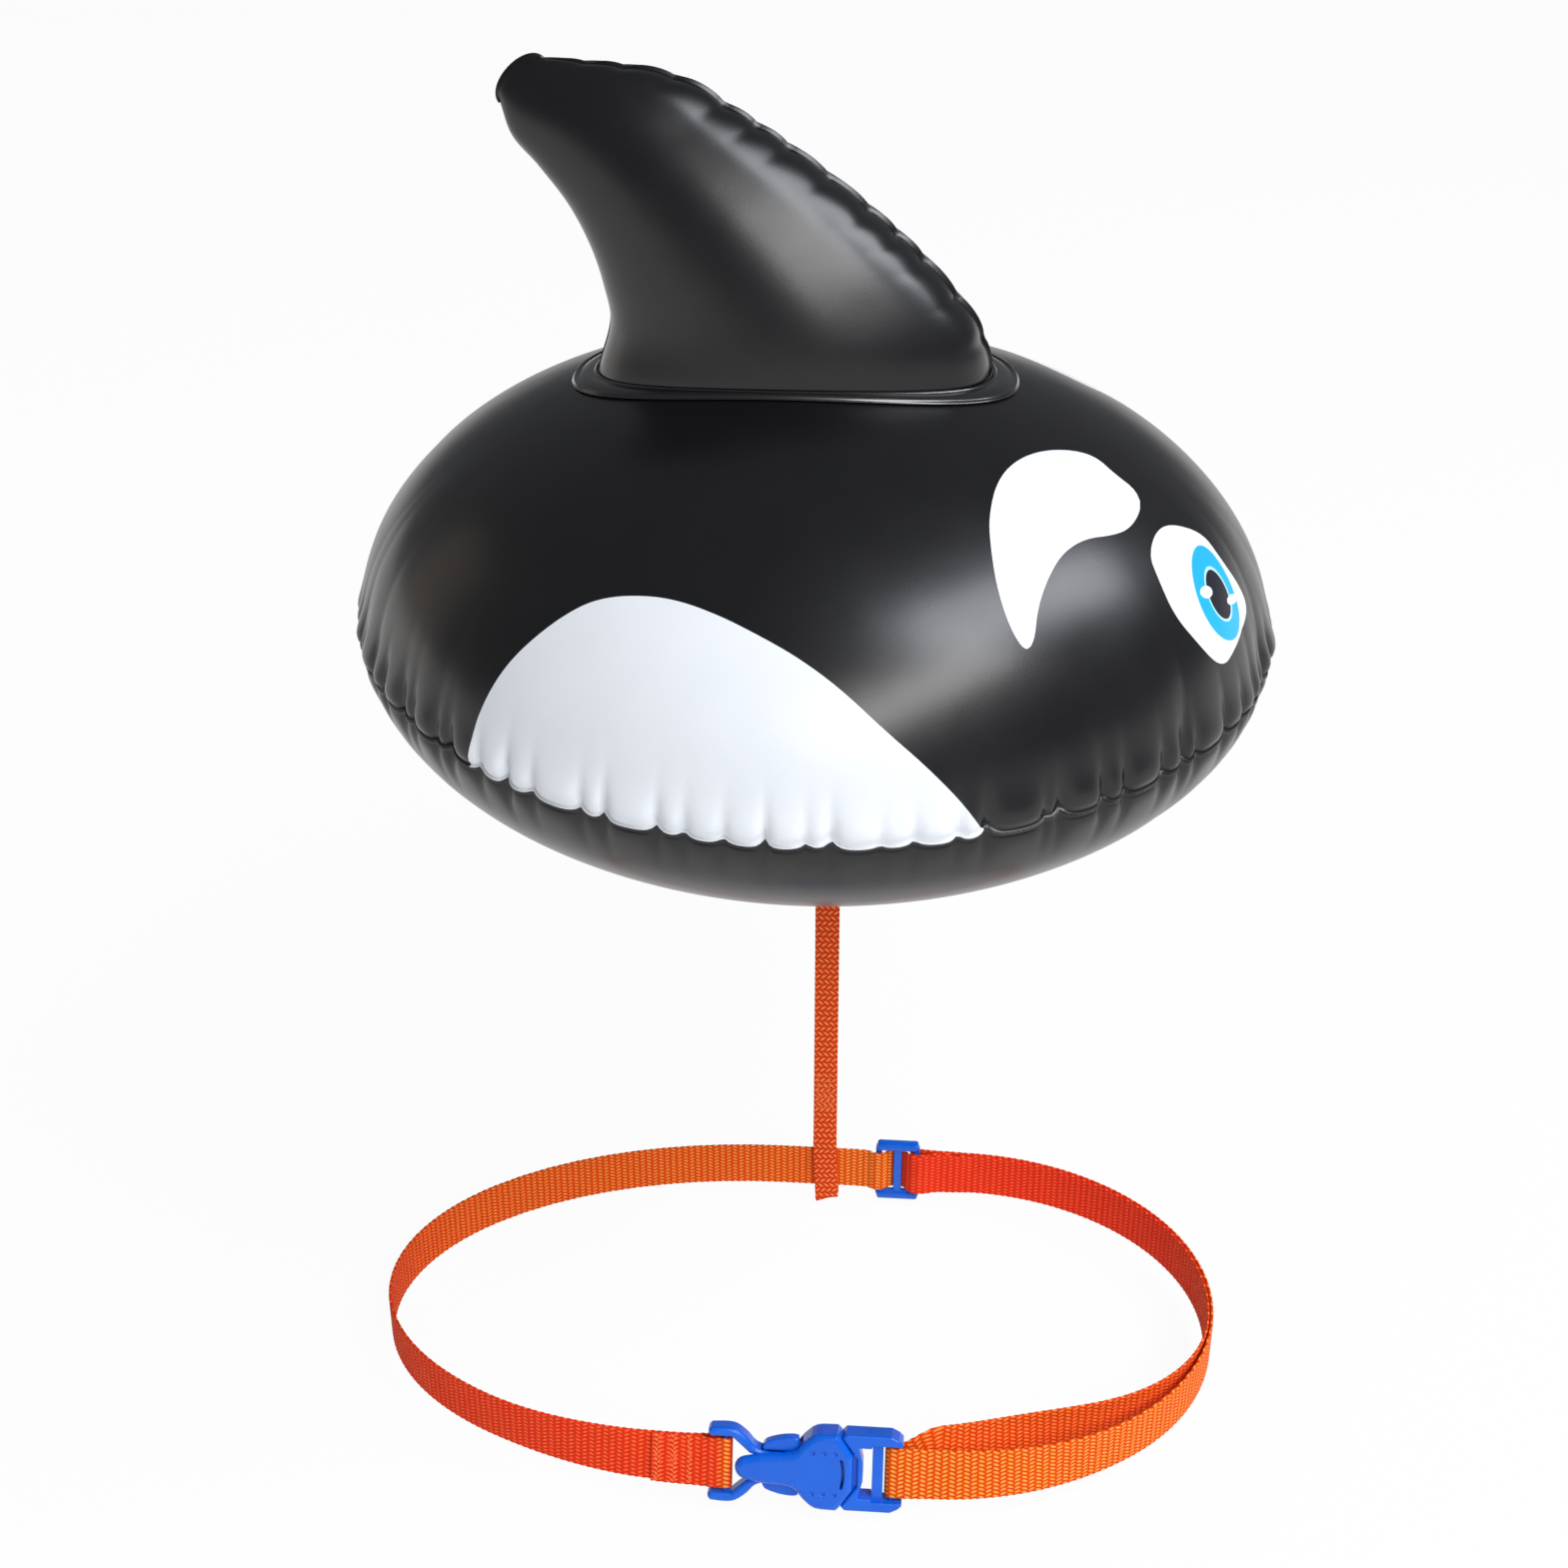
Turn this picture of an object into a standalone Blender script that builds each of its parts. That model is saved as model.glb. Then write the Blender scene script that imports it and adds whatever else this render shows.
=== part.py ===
"""Open water swim buoy: an inflated whale-shaped float, its tether and a waist belt with a buckle.

Metres, +Z up. X runs from the tail to the head of the float, +Y away from the side with the buckle.
The origin is the middle of the float, on its weld seam, which is also where it sits in the water.
Run with blender --background --python part.py, or from Blender's text editor.
"""

import math

import bmesh
import bpy
import numpy as np
from mathutils import Matrix, Vector

# Clearances and cutting allowances that every piece shares
GAP = 0.0003
OVERRUN = 0.002
WELD_DISTANCE = 0.000002
ROUND_STEPS = 24

# Float hull: two pressed sheets welded round their rim
HULL_LENGTH = 0.430
HULL_WIDTH = 0.404
HULL_CROWN = 0.128
HULL_KEEL = 0.092
SEAM_DROP = 0.0115
NOSE_DIP = 0.0038
SHEET_THICKNESS = 0.0005
WELD_LIP = 0.0018
PUCKER_DEPTH = 0.0035
PUCKER_WAVE = 0.0012
HULL_POWER = 2.2
PUCKER_REACH_POWER = 9
HULL_SEGMENTS = 80
HULL_RINGS = 7

# Dorsal fin: two sheets welded along both edges, standing on a welded collar
FIN_TAIL_X = -0.099
FIN_CHORD = 0.179
FIN_HEIGHT = 0.137
FIN_HALF_THICKNESS = 0.049
FIN_LIP = 0.0014
FIN_FOOT_LIP = 0.0009
FIN_SCALLOP = 0.0013
# Powers of the fin's swell: up its height, round its section, and where it settles on the hull
FIN_SWELL_POWER = 1.3
FIN_TAPER_POWER = 0.75
FIN_SECTION_POWER = 0.85
FIN_FOOT_POWER = 4
FIN_BOW_POWER = 3
FIN_ROWS = 16
FIN_COLUMNS = 15
# Each point is a share of the chord, then of the height, from the tail corner of the foot
FIN_LEADING_SHARES = [
    (1.0, 0.0), (0.96, 0.16), (0.85, 0.33), (0.7, 0.51),
    (0.535, 0.67), (0.35, 0.825), (0.18, 0.93), (-0.13, 0.99),
]
FIN_TRAILING_SHARES = [
    (0.0, 0.0), (0.035, 0.16), (0.02, 0.3), (-0.01, 0.43),
    (-0.06, 0.56), (-0.13, 0.68), (-0.19, 0.775), (-0.215, 0.88),
]
FIN_CURVE_STEPS = 8
FIN_TIP_BOW = 0.0045
COLLAR_THICKNESS = 0.001
COLLAR_BEAD_HEIGHT = 0.0014
COLLAR_INSIDE = 0.003
COLLAR_OUTSIDE = 0.008
COLLAR_SEGMENTS = 2 * FIN_COLUMNS
# Each pair is a share of the collar's outside width, then of the bead's height
COLLAR_SECTION_SHARES = [(0.15, 0.0), (0.38, 1.0), (0.62, 0.25), (1.0, 0.0)]

# Inflation valve on the far flank, near the tail
VALVE_X = -0.100
VALVE_Y = 0.110
VALVE_DISC_RADIUS = 0.016
VALVE_DISC_THICKNESS = 0.0009
VALVE_DISC_DROP = 0.0005
VALVE_BOSS_RADIUS = 0.0085
VALVE_BOSS_HEIGHT = 0.0025
VALVE_SLEEVE_RADIUS = 0.0072
VALVE_SLEEVE_LENGTH = 0.0045
STEM_RADIUS = 0.006
STEM_BORE_RADIUS = 0.0036
STEM_LENGTH = 0.0175
STEM_RIM_RADIUS = 0.0092
STEM_RIM_THICKNESS = 0.0012
STEM_STOP_RADIUS = 0.0069
STEM_STOP_THICKNESS = 0.0015
PLUG_CAP_RADIUS = 0.0052
PLUG_CAP_THICKNESS = 0.0015
PLUG_SPIGOT_RADIUS = 0.0032
PLUG_TIP_RADIUS = 0.0024
PLUG_SPIGOT_LENGTH = 0.004
PLUG_HINGE_OFFSET = 0.0075
PLUG_STRAP_WIDTH = 0.004
FLAP_RADIUS = 0.0050
FLAP_THICKNESS = 0.0008

# Tether: a patch welded under the keel, a moulded bridge and flat webbing looped round the belt
TETHER_X = 0.008
TETHER_WIDTH = 0.0125
TETHER_THICKNESS = 0.0014
PATCH_RADIUS = 0.032
PATCH_THICKNESS = 0.0015
PATCH_CHAMFER = 0.001
BRIDGE_DROP = 0.010
BRIDGE_ROD_RADIUS = 0.002
BRIDGE_BEND = 0.003
TETHER_SLACK = 0.0004
TETHER_TOP_TAIL = 0.032
TETHER_LOOP_TAIL = 0.053
TETHER_LOOP_HANG = 0.0075

# Waist belt
BELT_Z = -0.335
BELT_WIDTH = 0.413
BELT_DEPTH = 0.222
BELT_CENTRE_X = 0.0015
BELT_LEFT_END_Y = -0.118
BELT_RIGHT_END_Y = -0.108
WEBBING_WIDTH = 0.025
WEBBING_THICKNESS = 0.0014
PLY_CLEARANCE = 0.0003
CURVE_STEPS = 16
BELT_TRAVEL = 0.009
STRAIGHT_MARGIN = 0.007
INNER_PLY_BULGE = 0.021
INNER_PLY_RISE = 0.004
PLY_BULGE_SKEW = 1.3
PLY_BULGE_POWER = 1.4
WEBBING_STEP = 0.013

# Side-release buckle, placed by the middle of its closed length
BUCKLE_X = 0.01275
# The buckle leans back to face upwards, in degrees, and the belt turns upright again within this length
BUCKLE_LEAN = 18
LEAN_FADE = 0.11
BUCKLE_HEIGHT = 0.038
HOOD_DEPTH = 0.015
HOOD_ROUNDING = 0.0027
ARM_DEPTH = 0.009
BUCKLE_ROUNDING = 0.0018
MOUTH_REACH = 0.0225
MOUTH_SHOULDER = 0.0168
MOUTH_FLAT_HALF_HEIGHT = 0.0086
HOOD_LENGTH = 0.0175
WAIST_HALF_HEIGHT = 0.0078
# Share of the way up from the waist to the hood's top where the hood's shoulder is steepest
HOOD_SHOULDER_SHARE = 0.55
SOCKET_BAR_X = -0.0371
SOCKET_END_MARGIN = 0.0084
BAR_RADIUS = 0.0016
CHAMBER_HALF_HEIGHT = 0.0135
CHAMBER_HALF_DEPTH = 0.0032
CHAMBER_LEFT = -0.0205
GUARD_LEFT = -0.0325
GUARD_HALF_HEIGHT = 0.0072
GUARD_TIP_RADIUS = 0.0056
HOOK_HALF_HEIGHT = 0.0190
HOOK_SHARE = 0.75
HOOK_CHAMFER = 0.00135
ARM_INNER_HALF_HEIGHT = 0.0138
SEAT_WALL = 0.0025
TAIL_OF_SEWN_END = 0.0190
SEWN_RUN_OUT = 0.016
DIMPLE_RADIUS = 0.0011
DIMPLE_DEPTH = 0.0006
DIMPLE_PITCH = 0.0052
DIMPLE_ROW_HEIGHT = 0.0102
DIMPLE_START_X = 0.0037
RIM_STRIP_WIDTH = 0.0038
RIM_SLOT_WIDTH = 0.0014
RIM_SLOT_HALF_HEIGHT = 0.0074
RIM_SLOT_BOW = 0.0009

# The half of the buckle that pulls out
LIP_RECESS = 0.0016
NECK_WALL = 0.0010
GATE_WIDTH = 0.0063
GATE_BOW = 0.0020
GATE_HALF_HEIGHT = 0.0124
GATE_BAR_WIDTH = 0.005
FRAME_HALF_HEIGHT = 0.0138
PLUG_FOLD_ROOM = 0.0041
PLUG_END_MARGIN = 0.005
PLUG_DEPTH = 0.011
NECK_LEFT = 0.015
NECK_CLEARANCE = 0.0004
GUIDE_LEFT = -0.0135
GUIDE_HALF_HEIGHT = 0.0034
PRONG_ROOT_X = 0.0140
PRONG_ROOT_Z = 0.0095
PRONG_ROOT_RADIUS = 0.0016
PRONG_TIP_X = -0.0200
PRONG_SHOULDER_X = -0.0030
PRONG_ARM_INSIDE = 0.0078
PRONG_ARM_OUTSIDE = 0.0112
PRONG_CROWN = 0.0146
PRONG_HALF_DEPTH = 0.0027
PRONG_ROUNDING = 0.0006
BUCKLE_CURVE_STEPS = 3

# Tri-glide strap adjuster
GLIDE_X = 0.048
GLIDE_WIDTH = 0.0240
GLIDE_HEIGHT = 0.038
GLIDE_THICKNESS = 0.0026
GLIDE_BAR_WIDTH = 0.0034
GLIDE_CENTRE_BAR_WIDTH = 0.0046
GLIDE_SLOT_HALF_HEIGHT = 0.0133
GLIDE_ROUNDING = 0.0007
GLIDE_CORNER = 0.004
GLIDE_RAIL_DEPTH = 0.006
GLIDE_RAIL_HEIGHT = 0.0045
GLIDE_TRAVEL_RIGHT = 0.018
WEAVE_DEPTH = 0.0025
WEAVE_LEAD = 0.0005
WRAP_LENGTH = 0.0031
WRAP_DEPTH = 0.0026
WRAP_TAIL = 0.022

GATE_LEFT = MOUTH_REACH + LIP_RECESS + NECK_WALL
GATE_RIGHT = GATE_LEFT + GATE_WIDTH
GATE_BAR_RIGHT = GATE_RIGHT + GATE_BAR_WIDTH
PLUG_BAR_X = GATE_BAR_RIGHT + PLUG_FOLD_ROOM
PLUG_END = PLUG_BAR_X + PLUG_END_MARGIN
SOCKET_END = SOCKET_BAR_X - SOCKET_END_MARGIN
HALF_LENGTH = HULL_LENGTH / 2
HALF_WIDTH = HULL_WIDTH / 2
SKIN_LIFT = GAP / 2 + SHEET_THICKNESS
BUCKLE_Y = -BELT_DEPTH
HALF_WEBBING = WEBBING_WIDTH / 2
PLY_OFFSET = (WEBBING_THICKNESS + PLY_CLEARANCE + GAP / 2) / 2
FOLD_RADIUS = BAR_RADIUS + PLY_CLEARANCE + WEBBING_THICKNESS / 2


# Scene, materials and small helpers


def clear_scene():
    for old in list(bpy.data.objects):
        bpy.data.objects.remove(old, do_unlink=True)


def new_collection(name, shown):
    made = bpy.data.collections.new(name)
    bpy.context.scene.collection.children.link(made)
    made.hide_render = not shown
    return made


def finish(name, colour, roughness, coat=0.0):
    made = bpy.data.materials.new(name)
    made.use_nodes = True
    shader = made.node_tree.nodes["Principled BSDF"]
    shader.inputs["Base Color"].default_value = (*colour, 1.0)
    shader.inputs["Roughness"].default_value = roughness
    shader.inputs["Metallic"].default_value = 0.0
    shader.inputs["Coat Weight"].default_value = coat
    return made


clear_scene()
BUOY = new_collection("open_water_swim_buoy", True)
CUTTERS = new_collection("cutters", False)
BLACK_SHEET = finish("black_pvc_sheet", (0.008, 0.008, 0.009), 0.32)
BLACK_MOULDING = finish("black_pvc_moulding", (0.02, 0.02, 0.022), 0.4)
ORANGE_WEBBING = finish("orange_webbing", (0.85, 0.11, 0.02), 0.8)
BLUE_PLASTIC = finish("blue_moulded_plastic", (0.01, 0.16, 0.75), 0.35)


def piece(name, mesh, material, smooth_angle=40):
    """An object in the buoy's collection, round faces smooth."""
    made = bpy.data.objects.new(name, mesh)
    BUOY.objects.link(made)
    mesh.materials.clear()
    mesh.materials.append(material)
    mesh.shade_smooth()
    mesh.set_sharp_from_angle(angle=math.radians(smooth_angle))
    return made


def cutter(name, mesh):
    made = bpy.data.objects.new(name, mesh)
    CUTTERS.objects.link(made)
    made.hide_render = True
    made.display_type = "WIRE"
    return made


def boolean(target, tool, operation):
    step = target.modifiers.new(f"{operation.lower()}_{tool.name}", "BOOLEAN")
    step.operation = operation
    step.solver = "EXACT"
    step.object = tool
    return step


def mesh_of(build):
    """A mesh filled in by build, which gets an empty bmesh."""
    shape = bmesh.new()
    build(shape)
    mesh = bpy.data.meshes.new("shape")
    shape.to_mesh(mesh)
    shape.free()
    return mesh


def box_mesh(low, high):
    size = Vector(high) - Vector(low)
    middle = (Vector(high) + Vector(low)) / 2
    place = Matrix.Translation(middle) @ Matrix.Diagonal((*size, 1.0))
    return mesh_of(lambda shape: bmesh.ops.create_cube(shape, size=1, matrix=place))


def rod_mesh(radius, start, end, steps=ROUND_STEPS):
    """A closed cylinder between two points."""
    start, end = Vector(start), Vector(end)
    along = end - start
    turn = along.to_track_quat("Z", "Y").to_matrix().to_4x4()
    place = Matrix.Translation((start + end) / 2) @ turn

    def build(shape):
        bmesh.ops.create_cone(
            shape,
            cap_ends=True,
            segments=steps,
            radius1=radius,
            radius2=radius,
            depth=along.length,
            matrix=place,
        )

    return mesh_of(build)


def smooth_line(points, per_span):
    """A Catmull-Rom curve through the points, which keeps its two ends."""
    ends = [2 * np.array(points[0]) - np.array(points[1]), 2 * np.array(points[-1]) - np.array(points[-2])]
    known = [ends[0], *[np.array(p, float) for p in points], ends[1]]
    curve = []
    for a, b, c, d in zip(known, known[1:], known[2:], known[3:]):
        for t in np.arange(per_span) / per_span:
            square = (2 * a - 5 * b + 4 * c - d) * t**2
            cube = (3 * b - a - 3 * c + d) * t**3
            curve.append((2 * b + (c - a) * t + square + cube) / 2)
    curve.append(known[-2])
    return np.array(curve)


def arc(centre, radii, start, end, steps):
    """Points of an ellipse's arc, from one angle to another, in degrees."""
    angles = np.radians(np.linspace(start, end, steps + 1))
    return np.stack([centre[0] + radii[0] * np.cos(angles), centre[1] + radii[1] * np.sin(angles)], axis=1)


def evenly(line, count):
    """The line's points moved to equal steps of its length."""
    reach = np.concatenate([[0.0], np.cumsum(np.linalg.norm(np.diff(line, axis=0), axis=1))])
    at = np.linspace(0, reach[-1], count)
    return np.stack([np.interp(at, reach, line[:, k]) for k in range(line.shape[1])], axis=1)


def flat_mesh(outlines, depth, rounding, rounding_steps=1, inset=0.0):
    """A plate in the XZ plane, rounded all round; its first outline is its edge and the others its holes."""
    curve = bpy.data.curves.new("outline", "CURVE")
    curve.dimensions = "2D"
    curve.fill_mode = "BOTH"
    curve.extrude = depth / 2 - rounding
    curve.bevel_depth = rounding
    curve.bevel_resolution = rounding_steps
    curve.offset = -rounding - inset
    for outline in outlines:
        spline = curve.splines.new("POLY")
        spline.points.add(len(outline) - 1)
        spline.use_cyclic_u = True
        for point, (x, z) in zip(spline.points, outline):
            point.co = (x, z, 0.0, 1.0)
    holder = bpy.data.objects.new("outline", curve)
    BUOY.objects.link(holder)
    holder.rotation_euler.x = math.radians(90)
    bpy.context.view_layer.update()
    mesh = bpy.data.meshes.new_from_object(holder.evaluated_get(bpy.context.evaluated_depsgraph_get()))
    mesh.transform(holder.matrix_world)
    bpy.data.objects.remove(holder)
    return welded(mesh)


def welded(mesh):
    shape = bmesh.new()
    shape.from_mesh(mesh)
    bmesh.ops.remove_doubles(shape, verts=shape.verts, dist=WELD_DISTANCE)
    bmesh.ops.recalc_face_normals(shape, faces=shape.faces)
    shape.to_mesh(mesh)
    shape.free()
    return mesh


def turned(name, profile, material, place, steps=ROUND_STEPS):
    """A piece turned from a closed profile of radius and height pairs that runs down its outer side."""

    def build(shape):
        corners = [shape.verts.new((r, 0.0, z)) for r, z in profile]
        for a, b in zip(corners, corners[1:] + corners[:1]):
            if a.co.x > 0 or b.co.x > 0:
                shape.edges.new((a, b))

    made = piece(name, mesh_of(build), material)
    screw = made.modifiers.new("turn", "SCREW")
    screw.steps = steps
    screw.render_steps = steps
    screw.use_merge_vertices = True
    screw.merge_threshold = WELD_DISTANCE
    made.matrix_world = place
    return made


def skin(name, rows, material, wrap=False, cap=None, thickness=SHEET_THICKNESS, flip=False):
    """A sheet through rows of points, thickened inwards; wrap joins each row's ends, cap closes the first."""

    def build(shape):
        grid = [[shape.verts.new(p) for p in row] for row in rows]
        width = len(grid[0])
        for lower, upper in zip(grid, grid[1:]):
            for k in range(width if wrap else width - 1):
                n = (k + 1) % width
                corners = (lower[k], lower[n], upper[n], upper[k])
                shape.faces.new(corners[::-1] if flip else corners)
        if cap is not None:
            middle = shape.verts.new(cap)
            for k in range(width):
                corners = (grid[0][(k + 1) % width], grid[0][k], middle)
                shape.faces.new(corners[::-1] if flip else corners)

    made = piece(name, mesh_of(build), material)
    solid = made.modifiers.new("sheet", "SOLIDIFY")
    solid.thickness = thickness
    solid.offset = -1
    return made


# Float


def seam_height(x, y):
    return -SEAM_DROP * (y / HALF_WIDTH) ** 2 - NOSE_DIP * x / HALF_LENGTH


def hull_height(x, y, rise):
    """Height of the hull's outside over a point; a negative rise gives the keel side."""
    share = min(1.0, math.hypot(x / HALF_LENGTH, y / HALF_WIDTH))
    return seam_height(x, y) + rise * math.sqrt(1 - share**HULL_POWER)


def hull_panel(name, rise):
    """One pressed sheet: rings from the middle to the rim, puckered towards the weld, then the weld lip."""
    up = 1 if rise > 0 else -1
    rows = []
    for ring in range(1, HULL_RINGS + 2):
        share = math.sin(math.pi / 2 * min(ring, HULL_RINGS) / HULL_RINGS)
        row = []
        for k in range(HULL_SEGMENTS):
            angle = math.tau * k / HULL_SEGMENTS
            fold = (-1) ** k * share**PUCKER_REACH_POWER
            reach = share - PUCKER_DEPTH * (1 + fold) / 2 * share**PUCKER_REACH_POWER / HALF_WIDTH
            x = HALF_LENGTH * reach * math.cos(angle)
            y = HALF_WIDTH * reach * math.sin(angle)
            if ring > HULL_RINGS:
                x += WELD_LIP * math.cos(angle)
                y += WELD_LIP * math.sin(angle)
            dome = rise * math.sqrt(1 - share**HULL_POWER)
            row.append((x, y, seam_height(x, y) + dome + PUCKER_WAVE * fold + up * SKIN_LIFT))
        rows.append(row)
    return skin(name, rows, BLACK_SHEET, wrap=True, cap=(0.0, 0.0, rise + up * SKIN_LIFT), flip=up > 0)


def fin_edge(shares, rows):
    """An edge of the fin's outline, from its foot up, in equal steps."""
    foot = hull_height(FIN_TAIL_X, 0.0, HULL_CROWN)
    line = smooth_line(shares, FIN_CURVE_STEPS) * (FIN_CHORD, FIN_HEIGHT) + (FIN_TAIL_X, foot)
    return evenly(line, rows + 1)


FIN_FOOT_LIFT = SKIN_LIFT + COLLAR_THICKNESS + 3 * GAP


def outward(line, side):
    """The unit direction to the left (side 1) or right (-1) of each point of an open line in the XZ plane."""
    along = np.gradient(line, axis=0)
    along /= np.linalg.norm(along, axis=1)[:, None]
    return np.stack([-along[:, 1], along[:, 0]], axis=1) * side


def on_foot(x, y, z, t, foot):
    """A point of the fin, let down near the foot to follow the hull; t is its share of the way up."""
    down = (1 - t) ** FIN_FOOT_POWER * (hull_height(x, y, HULL_CROWN) - foot)
    return Vector((x, y, z + down + FIN_FOOT_LIFT * (1 - t)))


def fin_panel(name, side):
    """One sheet of the fin, bulging to side (-1 near, 1 far), with its flat weld lips."""
    leading = fin_edge(FIN_LEADING_SHARES, FIN_ROWS)
    trailing = fin_edge(FIN_TRAILING_SHARES, FIN_ROWS)
    leading_out = outward(leading, -1)
    trailing_out = outward(trailing, 1)
    foot = leading[0][1]
    flat = side * SKIN_LIFT
    rows = []
    for r in range(FIN_ROWS + 1):
        t = r / FIN_ROWS
        bulge = FIN_HALF_THICKNESS * (1 - t**FIN_SWELL_POWER) ** FIN_TAPER_POWER
        scallop = FIN_SCALLOP * (r % 2)
        lip = FIN_LIP if r > 0 else FIN_FOOT_LIP
        front = leading[r] - leading_out[r] * scallop
        back = trailing[r] - trailing_out[r] * scallop
        bow = outward(np.array([back, front]), 1)[0] * FIN_TIP_BOW * t**FIN_BOW_POWER
        row = [on_foot(*along_y(back + trailing_out[r] * lip, flat), t, foot)]
        for c in range(FIN_COLUMNS + 1):
            angle = math.pi * c / FIN_COLUMNS
            share = (1 - math.cos(angle)) / 2
            flat_point = back * (1 - share) + front * share + bow * math.sin(angle)
            swell = bulge * max(0.0, math.sin(angle)) ** FIN_SECTION_POWER
            row.append(on_foot(*along_y(flat_point, flat + side * swell), t, foot))
        row.append(on_foot(*along_y(front + leading_out[r] * lip, flat), t, foot))
        rows.append(row)
    for end in (0, -1):
        x = rows[0][end].x
        rows[0][end].z = hull_height(x, 0.0, HULL_CROWN) + FIN_FOOT_LIFT
    tip = np.array([(p.x, p.z) for p in rows[-1]])
    rows.append([along_y(p, flat) for p in tip + outward(tip, 1) * FIN_LIP])
    return skin(name, rows, BLACK_SHEET, flip=side > 0)


def along_y(flat_point, y):
    return (flat_point[0], y, flat_point[1])


def fin_collar():
    """The welded collar round the fin's foot, with a raised bead."""
    middle_x = FIN_TAIL_X + FIN_CHORD / 2
    section = [(-COLLAR_INSIDE, 0.0)]
    for across, height in COLLAR_SECTION_SHARES:
        section.append((across * COLLAR_OUTSIDE, height * COLLAR_BEAD_HEIGHT))
    rows = []
    for offset, height in section:
        row = []
        for k in range(COLLAR_SEGMENTS):
            angle = math.tau * k / COLLAR_SEGMENTS
            x = middle_x + (FIN_CHORD / 2 + offset) * math.cos(angle)
            across = math.copysign(abs(math.sin(angle)) ** FIN_SECTION_POWER, math.sin(angle))
            y = (FIN_HALF_THICKNESS + offset) * across
            lift = SKIN_LIFT + GAP + COLLAR_THICKNESS + height
            row.append((x, y, hull_height(x, y, HULL_CROWN) + lift))
        rows.append(row)
    return skin("fin_base_collar", rows, BLACK_SHEET, wrap=True, thickness=COLLAR_THICKNESS, flip=True)


# Valve


def valve_place():
    """The frame of the valve: its seat on the hull, with Z out along the hull's normal."""
    step = VALVE_DISC_RADIUS / 4

    def height(step_x, step_y):
        return hull_height(VALVE_X + step_x, VALVE_Y + step_y, HULL_CROWN)

    here = height(0.0, 0.0)
    slope_x = (height(step, 0.0) - height(-step, 0.0)) / step / 2
    slope_y = (height(0.0, step) - height(0.0, -step)) / step / 2
    normal = Vector((-slope_x, -slope_y, 1.0)).normalized()
    turn = normal.to_track_quat("Z", "Y").to_matrix().to_4x4()
    seat = Vector((VALVE_X, VALVE_Y, here + SKIN_LIFT))
    return Matrix.Translation(seat) @ turn


STEM_TOP = GAP + VALVE_BOSS_HEIGHT + GAP + STEM_RIM_THICKNESS
STEM_BOTTOM = STEM_TOP - STEM_LENGTH
PLUG_HINGE_Z = STEM_TOP + GAP + PLUG_CAP_THICKNESS / 2


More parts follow.
